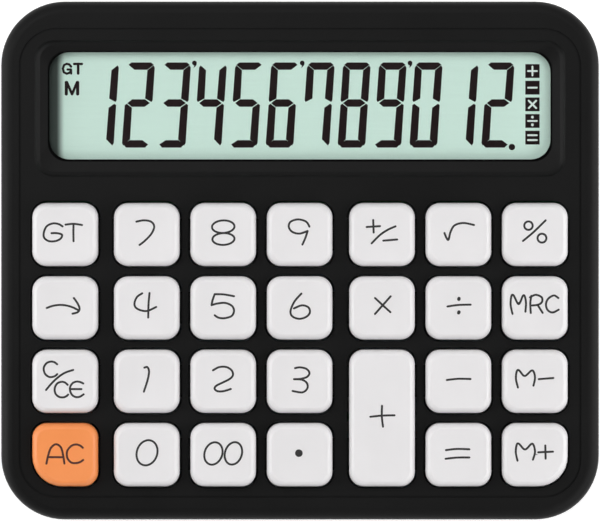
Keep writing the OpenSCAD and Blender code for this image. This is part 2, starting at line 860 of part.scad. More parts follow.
// Dome that a plunger pushes down: a thin cone from a ring in the sheet up to a thicker top
module rubber_dome() {
    top_r = plunger_d / 2 + 0.4;
    top_t = 1;
    ring_w = dome_wall + 0.6;
    rotate_extrude()
        polygon([
            [dome_d / 2 - ring_w, -sheet_t],
            [dome_d / 2, -sheet_t],
            [dome_d / 2, 0],
            [top_r, dome_h],
            [0, dome_h],
            [0, dome_h - top_t],
            [top_r - dome_wall, dome_h - top_t],
            [dome_d / 2 - ring_w, 0],
        ]);
}

module rubber_sheet() {
    post_play = 0.5;
    dome_lap = 0.2;
    color("#8f9498")
        on_deck() {
            difference() {
                translate([0, 0, board_z]) linear_extrude(sheet_t) board_outline(sheet_rear);
                for (p = board_posts)
                    translate([p[0], p[1], board_z - overrun])
                        cylinder(r = board_post_d / 2 + post_play, h = sheet_t + 2 * overrun);
                for (key = KEYS)
                    translate([col_x(key[1]), row_y(key[2]), board_z - overrun])
                        cylinder(r = dome_d / 2 - dome_lap, h = sheet_t + 2 * overrun);
            }
            for (key = KEYS)
                translate([col_x(key[1]), row_y(key[2]), sheet_z]) rubber_dome();
        }
}

module circuit_board() {
    color(board_green)
        on_deck()
            difference() {
                translate([0, 0, board_under_z]) linear_extrude(board_t) board_outline(board_rear);
                for (p = board_posts)
                    translate([p[0], p[1], board_under_z - overrun])
                        cylinder(r = board_screw_d / 2 + part_gap, h = board_t + 2 * overrun);
            }
}

module chip_cover() {
    color("#141414")
        on_deck()
            translate([(col_x(2) + col_x(3)) / 2, row_y(1), board_under_z])
                mirror([0, 0, 1]) rotate_extrude() edge_section(chip_d / 2, chip_h, chip_h * 0.9);
}

module capacitor() {
    color("#26324a")
        on_deck()
            translate([
                col_x(4) - capacitor_l / 2, board_rear - 2 * capacitor_d, board_under_z - capacitor_d / 2,
            ])
                rotate([0, 90, 0]) cylinder(d = capacitor_d, h = capacitor_l);
}

module board_screws() {
    bite = 4;
    color(steel)
        on_deck()
            for (p = board_posts)
                translate([p[0], p[1], board_under_z]) {
                    cylinder(d = board_screw_d, h = board_t + bite);
                    translate([0, 0, -board_head_h]) cylinder(d = board_head_d, h = board_head_h);
                }
}

// ---------- battery ----------

// The rear cell points its raised end to +X, the front cell to -X
module battery_cells() {
    body_l = cell_l - cell_nub_h;
    start = -bay_w / 2 + contact_t + contact_gap + spring_l;
    color("#3f6f4e")
        for (side = [-1, 1])
            translate([0, bay_y + side * cell_y, cell_z])
                mirror([side < 0 ? 1 : 0, 0, 0])
                    translate([start, 0, 0]) rotate([0, 90, 0]) {
                        cylinder(d = cell_d, h = body_l);
                        cylinder(d = cell_nub_d, h = cell_l);
                    }
}

// Conical contact spring along +X from the origin
module contact_coil() {
    turns = 4;
    steps = 12;
    wide = cell_d / 2 - 1.6;
    narrow = cell_d / 4;
    seat = spring_wire_d / 4;
    run = spring_l - spring_wire_d / 2 - seat;
    tube([
        for (i = [0:turns * steps])
            let (f = i / (turns * steps), a = 360 * i / steps, r = wide + (narrow - wide) * f)
            [seat + run * f, r * cos(a), r * sin(a)]
    ], spring_wire_d);
}

module contact_bridge() {
    color(steel)
        translate([-bay_w / 2, bay_y, cell_z]) {
            translate([0, -cell_y - contact_w / 2, -contact_w / 2])
                cube([contact_t, 2 * cell_y + contact_w, contact_w]);
            translate([contact_t, cell_y, 0]) contact_coil();
        }
}

// Plate at the far end with a solder tab through the wall
module end_contact() {
    translate([-contact_t, -contact_w / 2, -contact_w / 2]) cube([contact_t, contact_w, contact_w]);
    translate([-contact_t, -solder_w / 2, solder_z]) cube([contact_t + tab_out, solder_w, contact_t]);
}

module contact_spring() {
    color(steel)
        translate([bay_w / 2, bay_y - cell_y, cell_z]) {
            end_contact();
            translate([-contact_t, 0, 0]) rotate([0, 0, 180]) contact_coil();
        }
}

module contact_plate() {
    color(steel) translate([bay_w / 2, bay_y + cell_y, cell_z]) end_contact();
}

// Lead from a solder tab to the underside of the circuit board
module battery_lead(side, landing_x) {
    start = [
        bay_w / 2 + tab_out - 0.8, bay_y + side * cell_y,
        cell_z + solder_z + contact_t + lead_d / 2 + contact_gap,
    ];
    land = [landing_x, board_rear - landing_w - key_d / 4];
    finish = [land[0], world_y(land[1], board_under_z), world_z(land[1], board_under_z) - part_gap];
    pull = [start, start + [6, -4, 0], finish - [0, 0, 5], finish];
    tube([for (i = [0:16]) curve_at(pull, i / 16)], lead_d);
}

// Where the nearer lead lands beside the battery bay
landing_out = tab_out + lead_d / 2;

module lead_positive() {
    color("#b3261e") battery_lead(1, bay_w / 2 + landing_out + 2 * lead_d);
}

module lead_negative() {
    color("#181818") battery_lead(-1, bay_w / 2 + landing_out);
}

// ---------- keys ----------

// A tall key has a pair of tabs in each of the rows that it spans
function key_rows(key) = key[3] > key_d ? [-row_pitch / 2, row_pitch / 2] : [0];

module keycap(key) {
    radii = key_radii(key[4]);
    wall_h = key_rise - skirt_z;
    color(key[0] == "key_all_clear" ? "#ef9356" : case_white)
        on_deck() translate([col_x(key[1]), row_y(key[2]), 0]) {
            difference() {
                translate([0, 0, skirt_z]) edged_block(key_w, key[3], wall_h, radii, key_edge_r);
                translate([0, 0, skirt_z - overrun])
                    rounded_slab(
                        key_w - 2 * key_wall, key[3] - 2 * key_wall, wall_h - key_top_t + overrun,
                        [for (r = radii) r - key_wall]
                    );
            }
            translate([0, 0, plunger_z])
                cylinder(d = plunger_d, h = key_rise - key_top_t / 2 - plunger_z);
            for (y = key_rows(key)) {
                tab_pair_w = key_w + 2 * tab_reach;
                difference() {
                    translate([-tab_pair_w / 2, y - tab_w / 2, skirt_z]) cube([tab_pair_w, tab_w, tab_t]);
                    translate([-key_w / 2 + key_wall / 2, y - tab_w / 2 - overrun, skirt_z - overrun])
                        cube([key_w - key_wall, tab_w + 2 * overrun, tab_t + 2 * overrun]);
                }
            }
        }
}

top_case();
bottom_case();
display_window();
display_gasket();
lcd_glass();
lcd_frame();
lcd_ribbon();
rubber_sheet();
circuit_board();
chip_cover();
capacitor();
board_screws();
battery_cells();
contact_bridge();
contact_spring();
contact_plate();
lead_positive();
lead_negative();
battery_door();
case_screws();
rubber_feet();
for (key = KEYS) keycap(key);
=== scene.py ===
"""Desk calculator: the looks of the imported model.

The pieces on the face are built in millimetres on the sloping deck: u runs to the
right, v up the slope towards the display and n out of the deck. place() turns that into
the frame. The feet and the battery leads are built in the frame's own millimetres.
"""
import json
import math

import bmesh
import bpy
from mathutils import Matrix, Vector
from mathutils.geometry import interpolate_bezier


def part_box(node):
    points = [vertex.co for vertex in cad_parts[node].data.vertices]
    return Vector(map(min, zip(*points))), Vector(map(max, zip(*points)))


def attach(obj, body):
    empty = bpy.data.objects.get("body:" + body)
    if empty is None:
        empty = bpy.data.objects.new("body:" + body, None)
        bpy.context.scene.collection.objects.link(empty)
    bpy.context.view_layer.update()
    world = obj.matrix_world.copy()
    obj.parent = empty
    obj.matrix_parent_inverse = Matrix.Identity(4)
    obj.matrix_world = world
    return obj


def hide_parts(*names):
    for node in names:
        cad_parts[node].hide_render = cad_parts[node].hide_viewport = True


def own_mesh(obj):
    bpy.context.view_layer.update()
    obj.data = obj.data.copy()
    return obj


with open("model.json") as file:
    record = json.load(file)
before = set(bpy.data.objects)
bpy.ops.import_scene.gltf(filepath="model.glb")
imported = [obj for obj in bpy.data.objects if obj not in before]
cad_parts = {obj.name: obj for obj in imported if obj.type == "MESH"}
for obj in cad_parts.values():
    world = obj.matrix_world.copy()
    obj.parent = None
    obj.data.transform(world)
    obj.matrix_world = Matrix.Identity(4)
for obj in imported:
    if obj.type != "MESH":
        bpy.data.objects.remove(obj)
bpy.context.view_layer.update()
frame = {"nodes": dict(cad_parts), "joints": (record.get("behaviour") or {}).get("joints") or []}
NODES = frame["nodes"]
JOINTS = {joint["child"]: joint for joint in frame["joints"]}
MM = 0.001


# ---------- the deck ----------

# The keys are pressed straight into the deck, so their axis gives its slope
AXIS_U = Vector((1, 0, 0))
AXIS_N = -Vector(JOINTS["key_5"]["axis"]).normalized()
AXIS_V = AXIS_N.cross(AXIS_U)


def along_axes(point):
    """A point of the frame, in metres along the deck's three axes."""
    return Vector([point.dot(axis) for axis in (AXIS_U, AXIS_V, AXIS_N)])


def deck_span(node):
    """Lowest and highest corner of a CAD node, in metres along the deck's axes."""
    points = [along_axes(vertex.co) for vertex in NODES[node].data.vertices]
    low = Vector([min(p[k] for p in points) for k in range(3)])
    high = Vector([max(p[k] for p in points) for k in range(3)])
    return low, high


case_low, case_high = deck_span("top_case")
DECK = Vector((
    (case_low.x + case_high.x) / 2,
    (case_low.y + case_high.y) / 2,
    case_high.z,
))


def deck_box(node):
    """Lowest and highest corner of a CAD node in deck millimetres."""
    low, high = deck_span(node)
    return (low - DECK) / MM, (high - DECK) / MM


def on_deck(point):
    """A point of the frame in deck millimetres."""
    return (along_axes(point) - DECK) / MM


def place(u, v, n):
    """The point of the frame at u, v, n deck millimetres."""
    at = DECK + Vector((u, v, n)) * MM
    return AXIS_U * at.x + AXIS_V * at.y + AXIS_N * at.z


def put_in_scene(name, data):
    """A new object of the scene with that mesh, lamp or camera."""
    made = bpy.data.objects.new(name, data)
    bpy.context.scene.collection.objects.link(made)
    return made


# ---------- materials ----------

# Nearly all of a noise lies between these two values
NOISE_LOW, NOISE_HIGH = 0.3, 0.7


def srgb(code, gain=1.0):
    """Linear colour of an sRGB hex code."""
    linear = []
    for start in (1, 3, 5):
        c = int(code[start:start + 2], 16) / 255
        c = c / 12.92 if c <= 0.04045 else ((c + 0.055) / 1.055) ** 2.4
        linear.append(min(1.0, c * gain))
    return (*linear, 1.0)


def add(tree, kind, values=None, **settings):
    """Adds a shader node. A value is a number, a colour or another node's output."""
    made = tree.nodes.new("ShaderNode" + kind)
    for key, value in settings.items():
        setattr(made, key, value)
    for key, value in (values or {}).items():
        if isinstance(value, bpy.types.NodeSocket):
            tree.links.new(value, made.inputs[key])
        else:
            made.inputs[key].default_value = value
    return made


def new_material(name):
    """An empty node material and its tree."""
    made = bpy.data.materials.new(name)
    made.use_nodes = True
    made.node_tree.nodes.clear()
    return made, made.node_tree


def unevenness(tree, size_mm, detail, rough=0.5):
    """Noise in patches about size_mm wide, fixed to the piece."""
    where = add(tree, "TexCoord").outputs["Object"]
    patches = {"Scale": 1 / (size_mm * MM), "Detail": detail, "Roughness": rough}
    return add(tree, "TexNoise", {"Vector": where, **patches}).outputs["Fac"]


def moulded(
    name, colour, roughness, shade=0.05, cloud_mm=6, rough_play=0.05,
    grain_mm=0.5, relief_mm=0.01, specular=0.5, **surface
):
    """Solid material. Its shade and gloss drift over patches of cloud_mm, and a grain
    of grain_mm stands relief_mm out of its surface."""
    made, tree = new_material(name)
    cloud = unevenness(tree, cloud_mm, 3)
    drift = {"Value": cloud, "From Min": NOISE_LOW, "From Max": NOISE_HIGH}
    share = add(tree, "MapRange", {**drift, "To Min": 0, "To Max": 1})
    gloss = add(
        tree, "MapRange",
        {**drift, "To Min": roughness - rough_play, "To Max": roughness + rough_play},
    )
    # Inputs 6 and 7 of a colour mix are its two colours, output 2 is the mixed one
    tint = add(
        tree, "Mix",
        {
            "Factor": share.outputs["Result"],
            6: srgb(colour, 1 - shade),
            7: srgb(colour, 1 + shade),
        },
        data_type="RGBA",
    )
    relief = add(
        tree, "Bump",
        {
            "Height": unevenness(tree, grain_mm, 2, 0.6),
            "Strength": 1.0,
            "Distance": relief_mm * MM,
        },
    )
    shader = add(
        tree, "BsdfPrincipled",
        {
            "Base Color": tint.outputs[2],
            "Roughness": gloss.outputs["Result"],
            "Normal": relief.outputs["Normal"],
            "Specular IOR Level": specular,
            **surface,
        },
    )
    add(tree, "OutputMaterial", {"Surface": shader.outputs[0]})
    return made


# Light left in the painted shadow at the display's left end, and the stretch and gain of the
# painted light before its right end
PAINTED_SHADOW_LEVEL = 0.07
PAINTED_LIGHT_STRETCH_MM = 14
PAINTED_LIGHT_GAIN = 1.09


def polariser_with_painted_light(name, colour, edge_mm, full_mm, far_mm):
    """Polariser over a brushed foil. A painted shadow keeps it dark up to edge_mm in x and fades
    out by full_mm, and painted light makes it brightest at far_mm."""
    made, tree = new_material(name)
    where = add(tree, "TexCoord").outputs["Object"]
    along = add(tree, "SeparateXYZ", {0: where}).outputs["X"]
    # The first ramp is a painted shadow along the left end, and the second is painted light
    # towards the right end
    painted_shadow, painted_light = [
        add(
            tree, "MapRange",
            {
                "Value": along,
                "From Min": start * MM, "From Max": end * MM,
                "To Min": low, "To Max": high,
            },
            interpolation_type="SMOOTHSTEP",
        ).outputs["Result"]
        for start, end, low, high in (
            (edge_mm, full_mm, PAINTED_SHADOW_LEVEL, 1.0),
            (far_mm - PAINTED_LIGHT_STRETCH_MM, far_mm, 1.0, PAINTED_LIGHT_GAIN),
        )
    ]
    # Brushed along the display: streaks half a millimetre wide that only just show
    drawn = add(tree, "Mapping", {"Vector": where, "Scale": (60, 2200, 2200)})
    streaks = add(
        tree, "TexNoise", {"Vector": drawn.outputs[0], "Scale": 1.0, "Detail": 2.0}
    )
    brushing = add(
        tree, "MapRange",
        {
            "Value": streaks.outputs["Fac"],
            "From Min": NOISE_LOW, "From Max": NOISE_HIGH,
            "To Min": 0.985, "To Max": 1.015,
        },
    )
    lit = add(tree, "Math", {0: painted_shadow, 1: painted_light}, operation="MULTIPLY")
    brightness = add(
        tree, "Math", {0: lit.outputs[0], 1: brushing.outputs["Result"]},
        operation="MULTIPLY",
    )
    tint = add(
        tree, "VectorMath", {0: srgb(colour)[:3], "Scale": brightness.outputs[0]},
        operation="SCALE",
    )
    shader = add(
        tree, "BsdfPrincipled",
        {"Base Color": tint.outputs[0], "Roughness": 0.38, "Specular IOR Level": 0.2},
    )
    add(tree, "OutputMaterial", {"Surface": shader.outputs[0]})
    return made


def clear_acrylic(name):
    """Cast acrylic: seen straight through, with the room mirrored only at a slant."""
    made, tree = new_material(name)
    wave = add(
        tree, "Bump",
        {"Height": unevenness(tree, 30, 1), "Strength": 0.2, "Distance": 0.05 * MM},
    ).outputs["Normal"]
    through = add(tree, "BsdfTransparent", {"Color": (0.97, 0.985, 0.98, 1)})
    shine = add(tree, "BsdfGlossy", {"Roughness": 0.03, "Normal": wave})
    slant = add(tree, "Fresnel", {"IOR": 1.49, "Normal": wave}).outputs["Fac"]
    # Only the outer face mirrors: on the way out the same formula would block the light
    inside = add(tree, "NewGeometry").outputs["Backfacing"]
    outside = add(tree, "Math", {0: 1.0, 1: inside}, operation="SUBTRACT").outputs[0]
    facing = add(tree, "Math", {0: slant, 1: outside}, operation="MULTIPLY").outputs[0]
    both = add(
        tree, "MixShader", {0: facing, 1: through.outputs[0], 2: shine.outputs[0]}
    )
    add(tree, "OutputMaterial", {"Surface": both.outputs[0]})
    return made


# The clear window reaches this far under its surround, so the opening starts further in
WINDOW_LAP = 1.6
OPENING_LEFT = deck_box("display_window")[0].x + WINDOW_LAP
# From the opening's left side: where the painted shadow starts to fade, and where it has gone
PAINTED_SHADOW_FADES, PAINTED_SHADOW_GONE = 1.55, 3.85

MATERIALS = {
    # Moulded in a spark-eroded tool: a satin black that stays dark under a lamp
    "case": moulded(
        "abs_black_spark_eroded", "#141414", roughness=0.46, shade=0.06, cloud_mm=25,
        grain_mm=0.4, relief_mm=0.012, specular=0.1,
    ),
    # Moulded in a polished tool: an even white with a soft gloss on its rounded edges
    "key_white": moulded(
        "abs_white_satin_polished", "#efedee", roughness=0.34, shade=0.008, cloud_mm=9,
        rough_play=0.04, relief_mm=0.004,
    ),
    # Black on the caps below the deck, with plunger and tabs: painted shade that keeps the gaps
    # round the keys dark
    "key_gap_shade": moulded(
        "painted_gap_shade_black", "#101010", roughness=0.5, cloud_mm=9, rough_play=0.04,
        relief_mm=0.006,
    ),
    # The same tool with orange granulate
    "key_orange": moulded(
        "abs_orange_satin_polished", "#fe9957", roughness=0.34, shade=0.02, cloud_mm=9,
        rough_play=0.04, relief_mm=0.004, specular=0.4,
    ),
    # Pad-printed ink: a thin dark film with a faintly uneven edge and little shine
    "ink": moulded(
        "ink_pad_printed", "#1b1919", roughness=0.55, shade=0.12, cloud_mm=1.5,
        grain_mm=0.3, relief_mm=0.003,
    ),
    # The same ink where the orange below shines through it
    "ink_on_orange": moulded(
        "ink_pad_printed_thin", "#43190a", roughness=0.55, shade=0.12, cloud_mm=1.5,
        grain_mm=0.3, relief_mm=0.003,
    ),
    # Black band against the window, a painted shadow of the gap round it: takes nearly all the
    # light
    "lip": moulded(
        "rubber_black_lip", "#080808", roughness=0.9, shade=0.1, grain_mm=0.4,
        relief_mm=0.004, specular=0.02,
    ),
    "acrylic": clear_acrylic("acrylic_clear_cast"),
    # Polariser film over a brushed reflector: a flat grey-green with a hint of sparkle, a
    # painted shadow at its left end and painted light towards its right end
    "lcd": polariser_with_painted_light(
        "polariser_film_painted_shade_and_light", "#dff5eb",
        OPENING_LEFT + PAINTED_SHADOW_FADES, OPENING_LEFT + PAINTED_SHADOW_GONE, -OPENING_LEFT,
    ),
    # The same film where it has to show light against a dark square
    "lcd_sign": moulded(
        "polariser_film_open", "#f2fbf6", roughness=0.38, shade=0.01, cloud_mm=12,
        grain_mm=0.25, relief_mm=0.002, specular=0.2,
    ),
    # Liquid crystal switched dark: a purple-black that hides the foil
    "segment": moulded(
        "liquid_crystal_switched", "#190709", roughness=0.4, cloud_mm=3,
        rough_play=0.04, grain_mm=0.25, relief_mm=0.001, specular=0.2,
    ),
    # Die-cut polyurethane foam: open cells, no shine
    "foam": moulded(
        "foam_black_die_cut", "#1a1a1a", roughness=0.95, shade=0.3, cloud_mm=0.8,
        rough_play=0.03, relief_mm=0.12,
    ),
    # Moulded polystyrene: milky white, a little glossy
    "frame": moulded(
        "polystyrene_white_moulded", "#e4e3de", roughness=0.4, shade=0.02, cloud_mm=12,
        relief_mm=0.006,
    ),
    # Compression-moulded silicone rubber: matt grey, a little light goes into it
    "silicone": moulded(
        "silicone_grey_compression_moulded", "#8f9498", roughness=0.6, shade=0.04,
        cloud_mm=8, **{"Subsurface Weight": 0.1, "Subsurface Scale": 1.0 * MM},
    ),
    # Glass-fibre laminate under green solder resist: the weave shows faintly through
    "board": moulded(
        "laminate_green_resist", "#2b6e44", roughness=0.32, shade=0.1, cloud_mm=1.2,
        rough_play=0.06, grain_mm=0.6, relief_mm=0.02,
    ),
    # Poured epoxy: a dull black blob, a little wavy
    "epoxy": moulded(
        "epoxy_black_poured", "#121212", roughness=0.35, shade=0.1, cloud_mm=4,
        rough_play=0.1, grain_mm=2.5, relief_mm=0.12,
    ),
    # Shrink-wrapped vinyl sleeve: glossy and slightly rippled
    "sleeve": moulded(
        "vinyl_sleeve_blue_shrunk", "#26324a", roughness=0.3, shade=0.06, cloud_mm=5,
        grain_mm=1.2, relief_mm=0.02,
    ),
    # Zinc-plated steel: bright with a cloudy bluish film
    "zinc": moulded(
        "steel_zinc_plated", "#b9bcc0", roughness=0.3, shade=0.08, cloud_mm=3,
        rough_play=0.1, grain_mm=0.4, Metallic=1.0,
    ),
    # Nickel-plated spring steel: warmer and shinier
    "nickel": moulded(
        "spring_steel_nickel_plated", "#c6c3ba", roughness=0.22, shade=0.06, cloud_mm=3,
        rough_play=0.08, grain_mm=0.4, relief_mm=0.006, Metallic=1.0,
    ),
    # Extruded PVC sleeves of the leads: smooth, with a soft shine along them
    "red_lead": moulded("pvc_red_extruded", "#b3261e", roughness=0.4, grain_mm=0.8),
    "black_lead": moulded("pvc_black_extruded", "#161616", roughness=0.4, grain_mm=0.8),
    # Die-cut rubber: matt and faintly mottled
    "foot": moulded(
        "rubber_black_die_cut", "#222222", roughness=0.8, shade=0.15, cloud_mm=1.5,
        relief_mm=0.04,
    ),
    # Heat-sealed polyester film: amber and glossy
    "ribbon": moulded(
        "polyester_film_amber", "#b98a3e", roughness=0.25, shade=0.06, cloud_mm=4,
        grain_mm=0.8,
    ),
    # Shrunk foil sleeve of the battery cells: a plain green with a strong shine
    "cell": moulded(
        "foil_sleeve_green_shrunk", "#2f6b45", roughness=0.25, cloud_mm=8, grain_mm=1.5,
    ),
}

NODE_MATERIALS = {
    "top_case": "case", "bottom_case": "case", "battery_door": "case",
    "display_window": "acrylic", "display_gasket": "foam", "lcd_glass": "lcd",
    "lcd_frame": "frame", "lcd_ribbon": "ribbon", "rubber_sheet": "silicone",
    "circuit_board": "board", "chip_cover": "epoxy", "capacitor": "sleeve",
    "board_screws": "zinc", "case_screws": "zinc", "battery_cells": "cell",
    "contact_bridge": "nickel", "contact_spring": "nickel", "contact_plate": "nickel",
    "lead_positive": "red_lead", "lead_negative": "black_lead", "rubber_feet": "foot",
}


def coat(mesh, material, sharp):
    """Gives a mesh its material. Edges that turn more than sharp degrees stay crisp."""
    mesh.materials.clear()
    mesh.materials.append(MATERIALS[material])
    mesh.shade_smooth()
    mesh.set_sharp_from_angle(angle=math.radians(sharp))


for node, material in NODE_MATERIALS.items():
    coat(NODES[node].data, material, sharp=28)


# ---------- shapes ----------

def circle(radius, sides, u=0.0, v=0.0):
    """Points round a circle, anticlockwise."""
    turns = [2 * math.pi * k / sides for k in range(sides)]
    return [(u + radius * math.cos(t), v + radius * math.sin(t)) for t in turns]


def box_outline(left, right, near, far):
    """The four corners of a box, anticlockwise."""
    return [(left, near), (right, near), (right, far), (left, far)]


def level(height):
    """The same height at every point, for what lies on the flat glass."""
    return lambda u, v: height


class Shape:
    """Collects closed shells in millimetres and makes one piece of them."""

    def __init__(self, u=0.0, v=0.0, put=place):
        self.middle = (u, v)
        self.put = put
        self.points = []
        self.faces = []

    def add_loops(self, loops):
        """Adds the loops' points. Gives the first one's number and a loop's length."""
        first = len(self.points)
        u, v = self.middle
        for loop in loops:
            self.points += [self.put(u + p[0], v + p[1], p[2]) for p in loop]
        return first, len(loops[0])

    def loft(self, loops):
        """Shell through loops of equal length, closed at both ends."""
        first, size = self.add_loops(loops)
        for k in range(len(loops) - 1):
            low = first + k * size
            for i in range(size):
                j = (i + 1) % size
                self.faces.append((low + i, low + j, low + size + j, low + size + i))
        last = first + (len(loops) - 1) * size
        self.faces.append(tuple(range(first + size - 1, first - 1, -1)))
        self.faces.append(tuple(range(last, last + size)))

    def turned(self, profile, sides=48):
        """Turned shell from its (radius, height) profile, with flat ends."""
        self.loft([[(u, v, n) for u, v in circle(r, sides)] for r, n in profile])

    def band(self, loops):
        """Closed band. Its section goes from outside, over the underside, to inside."""
        first, size = self.add_loops(loops)
        for k in range(len(loops)):
            a, b = first + k * size, first + (k + 1) % len(loops) * size
            for i in range(size):
                j = (i + 1) % size
                self.faces.append((a + i, b + i, b + j, a + j))

    def prism(self, outline, low, high):
        """Flat plate with that outline between two heights."""
        self.loft([[(u, v, n) for u, v in outline] for n in (low, high)])

    def stroke(self, path, width, low, high):
        """Line of even width with round ends. Low and high give its heights."""
        closed = path[0] == path[-1]
        left, right = [], []
        for i, p in enumerate(path):
            back = path[i - 1] if i else (path[-2] if closed else p)
            on = path[i + 1] if i + 1 < len(path) else (path[1] if closed else p)
            way = Vector((on[0] - back[0], on[1] - back[1])).normalized() * width / 2
            left.append((p[0] - way.y, p[1] + way.x))
            right.append((p[0] + way.y, p[1] - way.x))
        if closed:
            self.band([
                [(u, v, height(u, v)) for u, v in side[:-1]]
                for side, height in (
                    (left, low), (left, high), (right, high), (right, low),
                )
            ])
            return
        outline = right + round_end(path[-1], path[-2], width / 2)
        outline += left[::-1] + round_end(path[0], path[1], width / 2)
        self.loft([
            [(u, v, height(u, v)) for u, v in outline] for height in (low, high)
        ])

    def piece(self, name, material, body, sharp=35):
        """One object of all shells, riding on a CAD body."""
        mesh = bpy.data.meshes.new(name)
        mesh.from_pydata(self.points, [], self.faces)
        coat(mesh, material, sharp)
        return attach(put_in_scene(name, mesh), body)


def frame_mm(x, y, z):
    """The point at x, y, z millimetres of the frame."""
    return Vector((x, y, z)) * MM


# Degrees on either side of a stroke's direction at which its round end has a point
END_TURNS = range(-67, 68, 22)


def round_end(at, before, radius):
    """Half circle round the end of a stroke, from its right side to its left."""
    way = math.atan2(at[1] - before[1], at[0] - before[0])
    turns = [way + math.radians(a) for a in END_TURNS]
    return [(at[0] + radius * math.cos(t), at[1] + radius * math.sin(t)) for t in turns]


def smooth_path(points, steps=8):
    """Curve through all the points (Catmull-Rom); a closed list stays closed."""
    if len(points) < 3:
        return points
    closed = points[0] == points[-1]
    path = []
    last = len(points) - 1
    for i in range(last):
        a = points[i - 1] if i else (points[-2] if closed else points[0])
        b, c = points[i], points[i + 1]
        d = points[i + 2] if i + 2 <= last else (points[1] if closed else points[-1])
        for k in range(steps):
            t = k / steps
            path.append(tuple(
                0.5 * (
                    2 * b[m] + (c[m] - a[m]) * t
                    + (2 * a[m] - 5 * b[m] + 4 * c[m] - d[m]) * t * t
                    + (3 * b[m] - a[m] - 3 * c[m] + d[m]) * t ** 3
                )
                for m in (0, 1)
            ))
    path.append(points[-1])
    return path


LEAST_RADIUS = 0.15


def rounded_loop(width, depth, radii, inset, height, per_corner=8, per_side=10):
    """Rounded rectangle, drawn in by inset. Height is a number or a function."""
    arcs = []
    for i, radius in enumerate(radii):
        side_u = -1 if i in (0, 3) else 1
        side_v = -1 if i < 2 else 1
        small = max(radius - inset, LEAST_RADIUS)
        middle_u = side_u * (width / 2 - inset - small)
        middle_v = side_v * (depth / 2 - inset - small)
        steps = [180 + 90 * i + 90 * k / per_corner for k in range(per_corner + 1)]
        arcs.append([
            (middle_u + small * math.cos(t), middle_v + small * math.sin(t))
            for t in map(math.radians, steps)
        ])
    flat_loop = []
    for arc, following in zip(arcs, arcs[1:] + arcs[:1]):
        flat_loop += arc
        (u, v), (to_u, to_v) = arc[-1], following[0]
        flat_loop += [
            (u + (to_u - u) * k / per_side, v + (to_v - v) * k / per_side)
            for k in range(1, per_side)
        ]
    return [(u, v, height(u, v) if callable(height) else height) for u, v in flat_loop]


# ---------- keycaps ----------

CAP_RADIUS = 3.6
# The outer front keys have one larger corner each, which follows the case
OUTER_RADIUS = 7.5
OUTER_CORNERS = {"key_all_clear": 0, "key_memory_plus": 1}
# The rounded edge is an arc that the top cuts off before it runs level: that leaves a
# fine line all round the top
EDGE_RADIUS = 2.2
EDGE_TURN = math.radians(66)
EDGE_STEPS = 8
CAP_EDGE = EDGE_RADIUS * (1 - math.cos(EDGE_TURN))
# Depth of the dished top. It is a trough along a long key, and a bowl in the others
CAP_DISH = 0.22
BOWL_POWER, TROUGH_POWER = 2, 8
# A key counts as long from this many times its width on
LONG_KEY = 1.5
# Loops over the top, as shares of the way from its edge to its middle
TOP_SHARES = (0.015, 0.05, 0.12, 0.24, 0.4, 0.56, 0.72, 0.86, 0.97)
# The corners of the top are this much rounder than those of the sides
CORNER_PLAY = 0.7
# Thickness of the cap's wall and roof
WALL = 1.2
ROOF = 1.5
# Height on the deck where the painted black below meets the cap's own colour above: painted
# shade in the gaps round the key
GAP_SHADE_LINE = -0.3
GAP_SHADE_PLAY = 0.01
# The plunger stands out of the skirt by its drop
PLUNGER_RADIUS = 3.0
PLUNGER_DROP = 1.8
# The plunger runs this far into the roof, and the tabs this far into the wall
PLUNGER_ROOT = 0.3
TAB_ROOT = 0.6
TAB_REACH = 1.0
TAB_HALF = 4.0
TAB_HEIGHT = 0.9
# A long key has two rows of tabs, at this share of its depth from its middle
TAB_ROW_SHARE = 0.268


